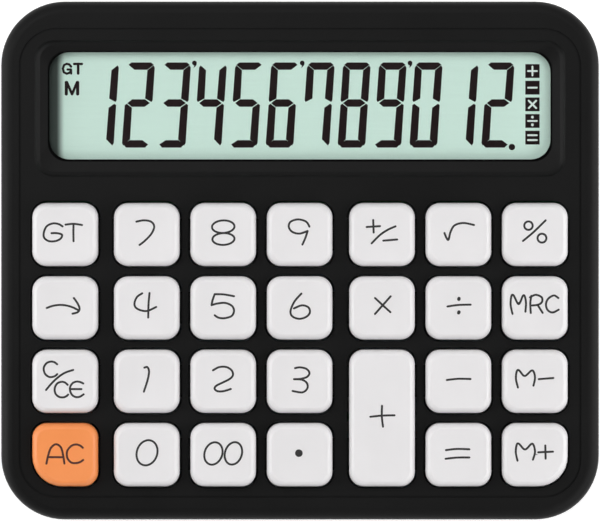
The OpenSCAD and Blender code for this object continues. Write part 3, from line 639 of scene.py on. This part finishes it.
class Cap:
    """Size, place and top surface of one key."""

    def __init__(self, node):
        low, high = deck_box(node)
        self.node = node
        self.name = node.removeprefix("key_")
        self.u = (low.x + high.x) / 2
        self.v = (low.y + high.y) / 2
        self.width = high.x - low.x - 2 * TAB_REACH
        self.depth = high.y - low.y
        self.long = self.depth >= LONG_KEY * self.width
        self.top = high.z
        self.foot = low.z
        self.skirt = low.z + PLUNGER_DROP
        self.radii = [CAP_RADIUS] * 4
        if node in OUTER_CORNERS:
            self.radii[OUTER_CORNERS[node]] = OUTER_RADIUS

    def surface(self, u, v):
        """Height of the dished top."""
        a = min(1.0, abs(u) / (self.width / 2 - CAP_EDGE))
        b = min(1.0, abs(v) / (self.depth / 2 - CAP_EDGE))
        power = TROUGH_POWER if self.long else BOWL_POWER
        return self.top - CAP_DISH * (1 - a * a) * (1 - b ** power)

    def loop(self, inset, height):
        """Loop round the cap, drawn in by inset."""
        softer = CORNER_PLAY * min(1, inset / CAP_EDGE)
        radii = [radius + softer for radius in self.radii]
        return rounded_loop(self.width, self.depth, radii, inset, height)

    def build(self):
        """Hollow cap with its plunger and its tabs, in place of the CAD key."""
        shape = Shape(self.u, self.v)
        ceiling = self.top - ROOF
        loops = [
            self.loop(WALL, ceiling), self.loop(WALL, self.skirt),
            self.loop(0, self.skirt), self.loop(0, GAP_SHADE_LINE),
        ]
        for k in range(EDGE_STEPS + 1):
            turn = EDGE_TURN * k / EDGE_STEPS
            inset = EDGE_RADIUS * (1 - math.cos(turn))
            drop = EDGE_RADIUS * (math.sin(EDGE_TURN) - math.sin(turn))
            loops.append(self.loop(inset, self.top - drop))
        for share in TOP_SHARES:
            inset = CAP_EDGE + share * (min(self.width, self.depth) / 2 - CAP_EDGE)
            loops.append(self.loop(inset, self.surface))
        shape.loft(loops)
        shape.prism(circle(PLUNGER_RADIUS, 24), self.foot, ceiling + PLUNGER_ROOT)
        row = self.depth * TAB_ROW_SHARE
        for tab_v in (-row, row) if self.long else (0,):
            near, far = tab_v - TAB_HALF, tab_v + TAB_HALF
            inner, outer = self.width / 2 - TAB_ROOT, self.width / 2 + TAB_REACH
            for left, right in ((-outer, -inner), (inner, outer)):
                tab = box_outline(left, right, near, far)
                shape.prism(tab, self.skirt, self.skirt + TAB_HEIGHT)
        material = "key_orange" if self.node == "key_all_clear" else "key_white"
        made = shape.piece("cap_" + self.name, material, self.node)
        # All that lies below the deck is painted black, as painted shade in the gaps round the
        # key
        made.data.materials.append(MATERIALS["key_gap_shade"])
        for face in made.data.polygons:
            corners = [on_deck(made.data.vertices[i].co).z for i in face.vertices]
            if sum(corners) / len(corners) < GAP_SHADE_LINE - GAP_SHADE_PLAY:
                face.material_index = 1
        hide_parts(self.node)


# ---------- key legends ----------

INK_WIDTH = 0.52
# Widths of the dots in a legend
DOTS = {"key_point": 1.9, "key_divide": 0.85}
INK_SUNK = 0.05
INK_PROUD = 0.02
# Each further stroke of a legend stands this much prouder, so that crossings stay clean
INK_LAYER = 0.002


def oval(u, v, half_u, half_v, lean=0.0, steps=14):
    """Closed stroke round an oval from its top; lean shifts it sideways as it rises."""
    path = []
    for k in range(steps + 1):
        turn = math.radians(90 + 360 * k / steps)
        rise = half_v * math.sin(turn)
        across = half_u * math.cos(turn) + lean * rise
        path.append((round(u + across, 2), round(v + rise, 2)))
    return path


# Strokes of each legend in millimetres from the middle of its key
LEGENDS = {
    "key_grand_total": [
        [
            (-0.56, 2.02), (-1.6, 2.61), (-3.05, 2.73), (-4.51, 2.02), (-5.21, 0.49),
            (-5.09, -0.89), (-3.88, -1.68), (-2.22, -1.63), (-1.01, -1.01),
            (-0.72, -0.05), (-2.01, 0.32), (-3.3, 0.32),
        ],
        [(0.19, 2.44), (2.15, 2.65), (4.31, 2.36)],
        [(2.19, 2.61), (2.15, 0.49), (2.19, -1.68)],
    ],
    "key_7": [
        [
            (-2.53, 3.19), (-0.71, 3.52), (1.12, 3.19), (1.91, 2.02), (1.29, 0.28),
            (-0.29, -1.47), (-1.74, -2.63),
        ],
    ],
    "key_8": [
        oval(0.0383, 1.9331, 2.7944, 1.5718, 0.1),
        oval(0.088, -1.136, 2.744, 1.472, 0.1),
    ],
    "key_9": [
        [
            (2.45, 1.96), (1.6, 3.21), (-0.4, 3.75), (-2.25, 3.16), (-2.69, 1.86),
            (-1.85, 0.66), (-0.05, 0.21), (2, 0.86),
        ],
        [(2, 0.86), (1.45, -0.84), (0.7, -2.53)],
    ],
    "key_sign": [
        [(-3.87, 1.86), (-0.54, 2.07)],
        [(-2.24, 3.6), (-2.12, 0.49)],
        [(-2.62, -2.22), (-0.54, -0.14), (1.46, 1.19), (3.33, 2.02)],
        [(0.29, -1.55), (3.74, -1.26)],
    ],
    "key_root": [
        [
            (-3.55, 0.36), (-2.96, -1.05), (-2.51, -1.22), (-2.01, 0.69), (-1.01, 2.27),
            (1.15, 2.86), (3.81, 2.36),
        ],
    ],
    "key_percent": [
        oval(-1.689, 2.191, 1.048, 1.048),
        oval(1.679, -0.928, 1.098, 1.098),
        [(-3.06, -1.63), (-0.4, 0.61), (2.59, 3.52)],
    ],
    "key_backspace": [
        [(-4.51, 0), (-2.76, 0.58), (-0.68, 0.75), (1.52, 0.33), (3.48, -0.58)],
        [(2.27, 2.49), (3.23, 1.08), (3.69, -0.17), (3.23, -1.04), (1.94, -1.42)],
    ],
    "key_4": [
        [
            (-1.08, 3.66), (-2.37, 2.74), (-2.99, 1.25), (-2.7, 0.12), (-1.41, -0.58),
            (0.25, -0.71), (2.41, 0.25),
        ],
        [(0.75, 3.74), (0.5, 0.96), (0.42, -2.37)],
    ],
    "key_5": [
        [(2.73, 2.94), (0.09, 3.39), (-2.08, 3.44)],
        [(-2.08, 3.44), (-2.61, 1.99), (-2.86, 0.7)],
        [
            (-2.86, 0.7), (-1.41, 1.12), (0.59, 1.25), (2.23, 0.5), (2.73, -0.75),
            (2.13, -2), (0.34, -2.55), (-1.16, -2.4), (-2.08, -1.82),
        ],
    ],
    "key_6": [
        [
            (0.45, 3.59), (-1.25, 1.65), (-2.25, -0.65), (-1.85, -2.05), (-0.15, -2.7),
            (1.6, -2.25), (2.55, -1.15), (2.2, 0.15), (0.6, 0.65), (-1.4, -0.1),
        ],
    ],
    "key_times": [
        [(-1.79, 2.49), (2.04, -1.04)],
        [(2.12, 2.91), (-1.79, -1.5)],
    ],
    "key_divide": [
        [(-2.8, 0.37), (-0.1, 0.75), (2.98, 0.83)],
        [(0.07, 2.37), (0.03, 2.16)],
        [(0.07, -1), (-0.01, -1.21)],
    ],
    "key_memory_recall": [
        [
            (-5.68, -1.46), (-6.14, 0.75), (-5.97, 2.91), (-5.39, 3.12), (-4.14, 0.96),
            (-3.06, 3.08), (-2.56, 2.74), (-2.31, 1.16), (-2.44, -0.92),
        ],
        [(-1.11, -1.25), (-1.23, 1.16), (-0.98, 3.03)],
        [
            (-1.31, 2.66), (0.14, 3.28), (1.6, 2.66), (1.68, 1.5), (0.76, 0.83),
            (-0.82, 0.62),
        ],
        [(0.6, 0.75), (1.85, -1.21)],
        [
            (5.75, 2.49), (4.67, 3.12), (3.26, 2.33), (2.68, 0.96), (3.09, -0.5),
            (4.34, -1.12), (5.84, -0.42),
        ],
    ],
    "key_clear_entry": [
        [
            (-1.9, 4.31), (-2.58, 4.81), (-3.49, 4.97), (-4.55, 4.56), (-5.23, 3.44),
            (-4.99, 2.07), (-4.11, 1.23), (-3.18, 1.13), (-2.37, 1.41), (-1.87, 1.85),
        ],
        [(-4.67, -2.11), (-3.21, -0.39), (-1.65, 1.07), (0.07, 2.19), (2.09, 2.88)],
        [
            (0.72, -0.83), (0.07, -0.27), (-0.81, -0.08), (-1.87, -0.49),
            (-2.49, -1.64), (-2.33, -2.98), (-1.49, -3.79), (-0.46, -3.95),
            (0.32, -3.7), (0.85, -3.26),
        ],
        [
            (4.62, -0.49), (3.87, -0.14), (2.94, -0.02), (1.94, -0.43), (1.34, -1.39),
            (1.38, -2.48), (1.88, -3.39), (2.72, -3.86), (3.75, -3.79), (4.71, -3.2),
        ],
        [(1.41, -1.89), (4.15, -1.89)],
    ],
    "key_1": [
        [(-0.54, 3.46), (0.21, 3.59), (0.63, 2.46), (0.25, 0.3), (-0.66, -2.53)],
    ],
    "key_2": [
        [
            (-2.51, 2.8), (-1.01, 3.58), (0.74, 3.63), (2.06, 2.88), (2.48, 1.76),
            (1.86, 0.78), (0.11, -0.16), (-1.61, -1.01), (-2.11, -1.76), (-1.41, -2.41),
            (0.11, -2.41), (1.93, -1.86),
        ],
    ],
    "key_3": [
        [
            (-1.15, 3.33), (0.05, 3.53), (1.65, 3.18), (2.45, 2.18), (1.9, 1.18),
            (0.35, 0.68), (-1.4, 0.58),
        ],
        [
            (-1.4, 0.58), (0.65, 0.43), (1.85, -0.46), (1.9, -1.76), (0.65, -2.71),
            (-1.75, -2.36),
        ],
    ],
    "key_minus": [
        [(-2.96, 0.38), (-0.1, 0.68), (2.94, 0.63)],
    ],
    "key_memory_minus": [
        [
            (-4.31, -1.49), (-4.81, 0.59), (-4.64, 2.46), (-4.06, 2.8), (-2.65, 1.38),
            (-0.98, 2.71), (-0.32, 2.3), (-0.07, 0.8), (-0.44, -1.03),
        ],
        [(0.89, 0.59), (4.51, 0.88)],
    ],
    "key_all_clear": [
        [
            (-4.58, -2.13), (-4.17, -0.23), (-3.49, 1.71), (-2.24, 2.7), (-0.99, 1.96),
            (-0.43, 0.08), (-0.09, -2.1),
        ],
        [(-4.17, -0.51), (-0.37, -0.54)],
        [
            (4.5, 1.83), (3.84, 2.36), (2.84, 2.64), (1.63, 2.27), (0.63, 1.02),
            (0.63, -0.66), (1.56, -1.82), (2.78, -2), (3.81, -1.75), (4.59, -1.23),
        ],
    ],
    "key_0": [
        oval(0.126, 0.571, 2.595, 3.144, 0.12),
    ],
    "key_00": [
        oval(-2.4068, 0.3963, 2.2455, 2.7944, 0.14),
        oval(2.5832, 0.4213, 2.1457, 2.7944, 0.14),
    ],
    "key_point": [
        [(-0.2, 0.47), (-0.17, 0.47)],
    ],
    "key_plus": [
        [(-2.95, 0.37), (-0.12, 0.66), (3.08, 0.74)],
        [(-0.04, 3.11), (-0.08, 0.41), (0.21, -2.08)],
    ],
    "key_equals": [
        [(-3.17, 1.23), (-0.51, 1.52), (2.65, 1.44)],
        [(-3.26, -0.93), (-0.51, -0.64), (2.65, -0.6)],
    ],
    "key_memory_plus": [
        [
            (-4.43, -1.39), (-4.85, 0.65), (-4.64, 2.52), (-4.06, 2.81), (-2.56, 1.39),
            (-0.98, 2.77), (-0.36, 2.35), (-0.07, 0.65), (-0.57, -1.14),
        ],
        [(0.76, 0.69), (4.42, 0.85)],
        [(2.51, 2.39), (2.59, -0.89)],
    ],
}

CAPS = [Cap(node) for node in LEGENDS]

for cap in CAPS:
    cap.build()
    ink = Shape(cap.u, cap.v)
    for k, stroke in enumerate(LEGENDS[cap.node]):
        dot = len(stroke) == 2 and cap.node in DOTS
        ink.stroke(
            smooth_path(stroke), DOTS[cap.node] if dot else INK_WIDTH,
            lambda u, v: cap.surface(u, v) - INK_SUNK,
            lambda u, v: cap.surface(u, v) + (INK_PROUD + INK_LAYER * k),
        )
    shade = "ink_on_orange" if cap.node == "key_all_clear" else "ink"
    ink.piece("legend_" + cap.name, shade, cap.node, sharp=60)


# ---------- soft parts ----------

SHEET = 0.8
SHEET_TOP = deck_box("circuit_board")[1].z + SHEET
# A dome gives way by its travel. Its foot is a ring between these two radii
DOME_HEIGHT = 2.4
DOME_FOOT = 5.5
DOME_HOLE = 4.2
# Radius and height over the sheet, from the inside over the foot to the top
DOME_PROFILE = [
    (2.6, 1.4), (2.8, 1.3), (3.3, 0.85), (3.85, 0.3), (DOME_HOLE, 0.0),
    (DOME_FOOT, 0.0), (5.3, 0.2), (4.85, 0.7), (4.35, 1.35), (3.9, 1.95), (3.65, 2.25),
    (3.4, 2.38), (3.1, DOME_HEIGHT), (2.2, DOME_HEIGHT - 0.05),
]
# Play in telling the solid's domes from its sheet, and in welding its points
ABOVE_SHEET = 0.05
ROUND_FOOT = 0.2
WELD = 0.001


def flat_sheet():
    """The sheet between the domes. It keeps the solid's own outline and holes, the
    domes are taken off, and a flat ring goes in round each hole."""
    work = bmesh.new()
    work.from_mesh(NODES["rubber_sheet"].data)
    bmesh.ops.remove_doubles(work, verts=work.verts, dist=WELD * MM)
    tall = [
        face for face in work.faces
        if any(on_deck(vert.co).z > SHEET_TOP + ABOVE_SHEET for vert in face.verts)
    ]
    bmesh.ops.delete(work, geom=tall, context="FACES")
    for cap in CAPS:
        middle = Vector((cap.u, cap.v))
        rims = []
        for edge in work.edges:
            if not edge.is_boundary:
                continue
            off = [(on_deck(vert.co).xy - middle).length for vert in edge.verts]
            if max(off) < DOME_FOOT + ROUND_FOOT:
                rims.append(edge)
        bmesh.ops.bridge_loops(work, edges=rims)
    bmesh.ops.recalc_face_normals(work, faces=work.faces)
    mesh = bpy.data.meshes.new("key_sheet")
    work.to_mesh(mesh)
    work.free()
    coat(mesh, "silicone", sharp=35)
    made = put_in_scene("key_sheet", mesh)
    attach(made, "case")
    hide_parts("rubber_sheet")


flat_sheet()
for cap in CAPS:
    dome = Shape(cap.u, cap.v)
    dome.turned([(radius, SHEET_TOP + rise) for radius, rise in DOME_PROFILE])
    made = dome.piece("dome_" + cap.name, "silicone", "case")
    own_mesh(made)

# Foam ring between the case and the display: width of its short and of its long sides
RING_SIDE, RING_END, RING_RADIUS = 1.5, 1.1, 5.0
# Round the ring's section: share of its width from the outside, and height
RING_SECTION = ((0, 0.15), (0.06, 0), (1, 0), (1.05, 0.15), (1, 0.3), (0.06, 0.3))
ring_low, ring_high = deck_box("display_gasket")
ring_u, ring_v = ring_high.x - ring_low.x, ring_high.y - ring_low.y
ring = Shape((ring_low.x + ring_high.x) / 2, (ring_low.y + ring_high.y) / 2)
ring.band([
    rounded_loop(
        ring_u - 2 * RING_SIDE * share, ring_v - 2 * RING_END * share,
        [RING_RADIUS] * 4, 0, ring_low.z + rise,
    )
    for share, rise in RING_SECTION
])
made = ring.piece("foam_ring", "foam", "case")
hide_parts("display_gasket")

# Four rubber feet, cast with a rounded rim
FOOT_RADIUS = 5.0
# Distance in from the rim, and height over the table
FOOT_RIM = [(1.5, 0.08), (1.3, 0.0), (0.55, 0.0), (0.28, 0.08), (0.08, 0.28), (0, 0.55)]
foot_low, foot_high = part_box("rubber_feet")
foot_height = (foot_high[2] - foot_low[2]) / MM
foot_profile = [(FOOT_RADIUS - inset, rise) for inset, rise in FOOT_RIM]
foot_profile.append((FOOT_RADIUS, foot_height))
feet = Shape(put=frame_mm)
for foot_x in (foot_low[0] / MM + FOOT_RADIUS, foot_high[0] / MM - FOOT_RADIUS):
    for foot_y in (foot_low[1] / MM + FOOT_RADIUS, foot_high[1] / MM - FOOT_RADIUS):
        feet.middle = (foot_x, foot_y)
        feet.turned(foot_profile)
made = feet.piece("feet", "foot", "case")
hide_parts("rubber_feet")

# Battery leads, from their solder tabs in a curve down to the board
LEAD_RADIUS = 0.6
OFF_THE_TAB = Vector((6, -4, 0))
OVER_THE_BOARD = Vector((0, 0, -5))
LEAD_POINTS = 40
LEAD_SIDES = 16


def lead(node, material, start, finish):
    """Round sleeve along one curve between two points, in the frame's millimetres."""
    start, finish = Vector(start), Vector(finish)
    path = interpolate_bezier(
        start, start + OFF_THE_TAB, finish + OVER_THE_BOARD, finish, LEAD_POINTS
    )
    loops = []
    for back, p, on in zip([path[0]] + path, path, path[1:] + [path[-1]]):
        across = (on - back).cross(Vector((1, 0, 0))).normalized()
        other = (on - back).normalized().cross(across)
        loops.append([
            p + LEAD_RADIUS * (across * c + other * s) for c, s in circle(1, LEAD_SIDES)
        ])
    sleeve = Shape(put=frame_mm)
    sleeve.loft(loops)
    made = sleeve.piece(node + "_sleeve", material, "case")
    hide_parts(node)


lead("lead_positive", "red_lead", (28.5, 48.748, 11.359), (32.3, 10.795, 12.149))
lead("lead_negative", "black_lead", (28.5, 38.048, 11.359), (29.9, 10.795, 12.149))


# ---------- display ----------

window_low, window_high = deck_box("display_window")
VIEW_U = (window_low.x + window_high.x) / 2
VIEW_V = (window_low.y + window_high.y) / 2

# Black band at the foot of the sloping surround, right round the opening: a painted shadow of
# the gap between the window and the surround. The surround rises from the opening to a bend, and
# the band covers a share of that slope
OPENING_RADIUS, BEND_RADIUS = 5.0, 3.5
OPENING_N, BEND_N = -2.0, -1.2
TO_BEND_SIDE, TO_BEND_REAR, TO_BEND_FRONT = 2.3, 1.6, 3.1
GAP_SHADOW_SHARE = 0.165
# Round the band's section: share of the slope that it covers, and lift off the slope
GAP_SHADOW_SECTION = ((GAP_SHADOW_SHARE, -0.1), (0, -0.3), (0, 0.04), (GAP_SHADOW_SHARE, 0.04))
open_u = window_high.x - window_low.x - 2 * WINDOW_LAP
open_v = window_high.y - window_low.y - 2 * WINDOW_LAP


def lip_loop(share, lift):
    """Loop on the surround's slope, that share of the way from opening to bend."""
    foot = rounded_loop(open_u, open_v, [OPENING_RADIUS] * 4, 0, OPENING_N)
    bend = rounded_loop(
        open_u + 2 * TO_BEND_SIDE, open_v + TO_BEND_REAR + TO_BEND_FRONT,
        [BEND_RADIUS] * 4, 0, BEND_N,
    )
    middle = Vector((0, (TO_BEND_REAR - TO_BEND_FRONT) / 2, 0))
    rise = Vector((0, 0, lift))
    return [
        Vector(low).lerp(Vector(high) + middle, share) + rise
        for low, high in zip(foot, bend)
    ]


# The painted gap shadow: one band right round the opening
lip = Shape(VIEW_U, VIEW_V)
lip.band([lip_loop(share, lift) for share, lift in GAP_SHADOW_SECTION])
lip.piece("window_lip", "lip", "case")

# All that the display shows is a film on its glass. Where two films cross, each further
# one is a little thicker
GLASS = deck_box("lcd_glass")[1].z
FILM = 0.02
FILM_STEP = 0.05
FILM_FOOT, FILM_TOP = GLASS - FILM, GLASS + FILM

DIGIT_PITCH = 9.036
DIGIT_SLANT = 0.068
FIRST_DIGIT = -49.61
DIGIT_V = 0.77
BAR_SPREAD = 0.12

# Outlines of a digit's bars, upright, from the digit's middle: a top, b and c right,
# d bottom, e and f left, g middle
BARS = {
    "a": [
        (-3.06, 9.6), (-1.5, 8.43), (1.52, 8.43), (3.06, 9.6), (2.3, 10.17),
        (-2.35, 10.17),
    ],
    "b": [
        (3.1, 9.34), (1.7, 8.15), (1.6, 1.25), (3.2, 0.38), (3.47, 0.85), (3.45, 8.8),
    ],
    "c": [
        (2.97, -0.28), (1.62, -1.28), (1.55, -8.99), (3.14, -10.57), (3.47, -9.94),
        (3.42, -0.65),
    ],
    "d": [
        (-3.0, -10.4), (-2.27, -11.16), (2.27, -11.16), (3.0, -10.4), (1.5, -9.39),
        (-1.5, -9.39),
    ],
    "g": [
        (-2.72, 0), (-1.6, -0.88), (1.45, -0.88), (2.72, 0), (1.5, 0.88), (-1.55, 0.88),
    ],
}
for left, right in ("ec", "fb"):
    BARS[left] = [(-u, v) for u, v in BARS[right][::-1]]

# The bars that each of the twelve digits shows
SHOWN = [
    "bc", "abged", "abgcd", "fgbc", "afgcd", "afgecd", "afbc", "abcdefg", "abcdfg",
    "abcdef", "bc", "abged",
]


def slanted_bar(outline):
    """The bar with its corners moved a little off its middle, leaning as digits do."""
    points = [Vector(p) for p in outline]
    middle = sum(points, Vector((0, 0))) / len(points)
    wider = [p + (p - middle).normalized() * BAR_SPREAD for p in points]
    return [(p.x + p.y * DIGIT_SLANT, p.y) for p in wider]


for k, bars in enumerate(SHOWN):
    digit = Shape(VIEW_U + FIRST_DIGIT + k * DIGIT_PITCH, VIEW_V + DIGIT_V)
    for bar in bars:
        digit.prism(slanted_bar(BARS[bar]), FILM_FOOT, FILM_TOP)
    digit.piece(f"digit_{k + 1:02d}", "segment", "case")

# Thousands marks, each a dot with a small tail, and the point after the last digit. A
# tail begins deeper and ends lower than its dot, so that no two faces coincide
MARKS_U = (-26.53, 0.55, 27.64)
MARK_V = 10.84
MARK_RADIUS = 0.6
MARK_TAIL = [
    (-0.3, 9.6), (0.12, 9.85), (0.5, 10.35), (0.6, 10.84), (-0.45, 10.45), (-0.1, 10.3),
    (-0.05, 10.1),
]
POINT_U, POINT_V, POINT_RADIUS = 53.26, -10.28, 0.81
marks = Shape(VIEW_U, VIEW_V)
for mark_u in MARKS_U:
    marks.prism(circle(MARK_RADIUS, 20, mark_u, MARK_V), FILM_FOOT, FILM_TOP)
    tail = [(mark_u + u, v) for u, v in MARK_TAIL]
    marks.prism(tail, GLASS - FILM * 2, GLASS + FILM * 0.9)
marks.prism(circle(POINT_RADIUS, 20, POINT_U, POINT_V), FILM_FOOT, FILM_TOP)
marks.piece("display_points", "segment", "case")

# Function marks at the left, in plain capitals: the width of each stroke and its points
LETTERS = [
    (0.62, [
        (-57.55, 9.95), (-58.0, 10.48), (-58.62, 10.62), (-59.3, 10.35), (-59.6, 9.42),
        (-59.35, 8.5), (-58.65, 8.15), (-58.05, 8.32), (-57.62, 8.75), (-57.62, 9.2),
    ]),
    (0.56, [(-57.6, 9.2), (-58.4, 9.2)]),
    (0.5, [(-57.5, 9.15), (-57.5, 8.15)]),
    (0.62, [(-56.78, 10.6), (-54.82, 10.6)]),
    (0.66, [(-55.76, 10.6), (-55.76, 8.2)]),
    (0.8, [(-58.74, 3.05), (-58.74, 5.95)]),
    (0.66, [(-58.6, 6.0), (-57.3, 3.0)]),
    (0.66, [(-57.3, 3.0), (-56.02, 6.0)]),
    (0.8, [(-55.88, 5.95), (-55.88, 3.05)]),
]
letters = Shape(VIEW_U, VIEW_V)
for k, (width, line) in enumerate(LETTERS):
    lift = GLASS + FILM * (1 + FILM_STEP * k)
    letters.stroke(line, width, level(FILM_FOOT), level(lift))
letters.piece("display_letters", "segment", "case")

# Operator marks at the right: dark squares with a light sign
SIGN_U = 58.42
SIGN_ROWS = [8.82, 4.64, 0.44, -3.73, -7.92]
SQUARE_U, SQUARE_V = 3.59, 3.46
# The light film of a sign is this many times as thick as the dark one below it
SIGN_FILM = 1.5
# The lines of each sign: the width and both ends, from the square's middle
SIGNS = [
    [(0.46, (-1.1, 0), (1.1, 0)), (0.46, (0, -1.1), (0, 1.1))],
    [(0.46, (-1.08, 0), (1.08, 0))],
    [(0.48, (-0.92, -0.92), (0.92, 0.92)), (0.48, (-0.92, 0.92), (0.92, -0.92))],
    [
        (0.44, (-1.1, 0), (1.1, 0)), (0.7, (0, 0.96), (0, 0.97)),
        (0.7, (0, -0.96), (0, -0.97)),
    ],
    [(0.46, (-1.1, 0.61), (1.1, 0.61)), (0.46, (-1.1, -0.61), (1.1, -0.61))],
]
squares, signs = Shape(VIEW_U, VIEW_V), Shape(VIEW_U, VIEW_V)
half_u, half_v = SQUARE_U / 2, SQUARE_V / 2
for row, sign in zip(SIGN_ROWS, SIGNS):
    square = box_outline(SIGN_U - half_u, SIGN_U + half_u, row - half_v, row + half_v)
    squares.prism(square, FILM_FOOT, FILM_TOP)
    for k, (width, *line) in enumerate(sign):
        path = [(SIGN_U + u, row + v) for u, v in line]
        lift = GLASS + FILM * (SIGN_FILM + FILM_STEP * k)
        signs.stroke(path, width, level(FILM_TOP), level(lift))
squares.piece("display_squares", "segment", "case")
signs.piece("display_signs", "lcd_sign", "case")


# ---------- studio ----------

WHITE = (1, 1, 1, 1)


def sent_on(tree, path):
    """1 for rays that a shiny or a clear surface sends on, else 0."""
    return add(
        tree, "Math",
        {0: path["Is Glossy Ray"], 1: path["Is Transmission Ray"]}, operation="MAXIMUM",
    ).outputs[0]


def floor_material():
    """Paper sweep: white to the camera, darker where the object keeps light off it."""
    made, tree = new_material("paper_sweep_white")
    path = add(tree, "LightPath").outputs
    # 1 for the camera's rays and for those that a shiny or a clear surface sends on
    seen = add(
        tree, "Math", {0: path["Is Camera Ray"], 1: sent_on(tree, path)},
        operation="MAXIMUM",
    ).outputs[0]
    paper = add(tree, "BsdfDiffuse", {"Color": (0.8, 0.8, 0.8, 1)})
    # Away from the lamps the paper glows more, so that it stays as white as the walls
    spot = add(tree, "TexCoord").outputs["Object"]
    off = add(tree, "VectorMath", {0: spot}, operation="LENGTH").outputs["Value"]
    strength = add(
        tree, "MapRange",
        {"Value": off, "From Min": 0.3, "From Max": 1.0, "To Min": 0.62, "To Max": 1.0},
    ).outputs["Result"]
    glow = add(tree, "Emission", {"Color": WHITE, "Strength": strength})
    both = add(tree, "AddShader", {0: paper.outputs[0], 1: glow.outputs[0]})
    lit = add(tree, "MixShader", {0: seen, 1: paper.outputs[0], 2: both.outputs[0]})
    add(tree, "OutputMaterial", {"Surface": lit.outputs[0]})
    return made


# Half the side of the floor, in metres
SWEEP = 2.5
corners = [(x, y, 0) for x, y in box_outline(-SWEEP, SWEEP, -SWEEP, SWEEP)]
sweep = bpy.data.meshes.new("sweep")
sweep.from_pydata(corners, [], [(0, 1, 2, 3)])
sweep.materials.append(floor_material())
put_in_scene("sweep", sweep)

# A white room with a dark ceiling: shiny faces mirror its walls, and those that face up
# stay clear. The camera sees plain white, and AMBIENT is all the light it gives
AMBIENT = 0.07
world = bpy.data.worlds.new("studio")
bpy.context.scene.world = world
world.use_nodes = True
sky = world.node_tree
sky.nodes.clear()
path = add(sky, "LightPath").outputs
direction = add(sky, "TexCoord").outputs["Generated"]
climb = add(sky, "SeparateXYZ", {0: direction}).outputs["Z"]
wall = add(
    sky, "MapRange",
    {"Value": climb, "From Min": 0.35, "From Max": 0.92, "To Min": 1.0, "To Max": 0.0},
    interpolation_type="SMOOTHSTEP",
).outputs["Result"]
dim, room, plain = [
    add(sky, "Background", {"Color": WHITE, "Strength": strength}).outputs[0]
    for strength in (AMBIENT, wall, 1.0)
]
unseen = add(sky, "MixShader", {0: sent_on(sky, path), 1: dim, 2: room}).outputs[0]
shown = add(sky, "MixShader", {0: path["Is Camera Ray"], 1: unseen, 2: plain})
add(sky, "OutputWorld", {"Surface": shown.outputs[0]})

# Square soft boxes that face the middle of the object. Each has its place over the deck
# in millimetres, and its side in metres and its power in watts
LAMPS = {
    "soft_box_left": ((-800, 0, 250), 0.6, 3.3),
    "soft_box_right": ((800, 0, 250), 0.6, 3.0),
    "soft_box_high_left": ((-520, 200, 860), 0.7, 3.1),
    "soft_box_high_right": ((520, 200, 860), 0.7, 1.1),
    "soft_box_front_right": ((420, -420, 500), 0.5, 1.65),
    "soft_box_high_rear": ((0, 520, 860), 0.7, 2.4),
}
for name, (spot, side, watts) in LAMPS.items():
    lamp = bpy.data.lights.new(name, "AREA")
    lamp.size = side
    lamp.energy = watts
    box = put_in_scene(name, lamp)
    box.location = place(*spot)
    towards = place(0, 0, 0) - box.location
    box.rotation_euler = towards.to_track_quat("-Z", "Y").to_euler()

# The camera stands square to the deck, over its middle. Its view is as wide as the case
# with a small margin, at the height of the case's widest edge
DISTANCE = 1100.0
EDGE_N = -3.0
SIDE_MARGIN = 0.3
SENSOR = 36
view_width = (case_high.x - case_low.x) / MM + 2 * SIDE_MARGIN
sight = bpy.data.cameras.new("camera")
sight.sensor_fit = "HORIZONTAL"
sight.sensor_width = SENSOR
sight.lens = SENSOR * (DISTANCE - EDGE_N) / view_width
camera = put_in_scene("camera", sight)
camera.location = place(0, 0, DISTANCE)
camera.rotation_euler = (math.asin(AXIS_V.z), 0, 0)
bpy.context.scene.camera = camera
bpy.context.scene.view_settings.view_transform = "Standard"
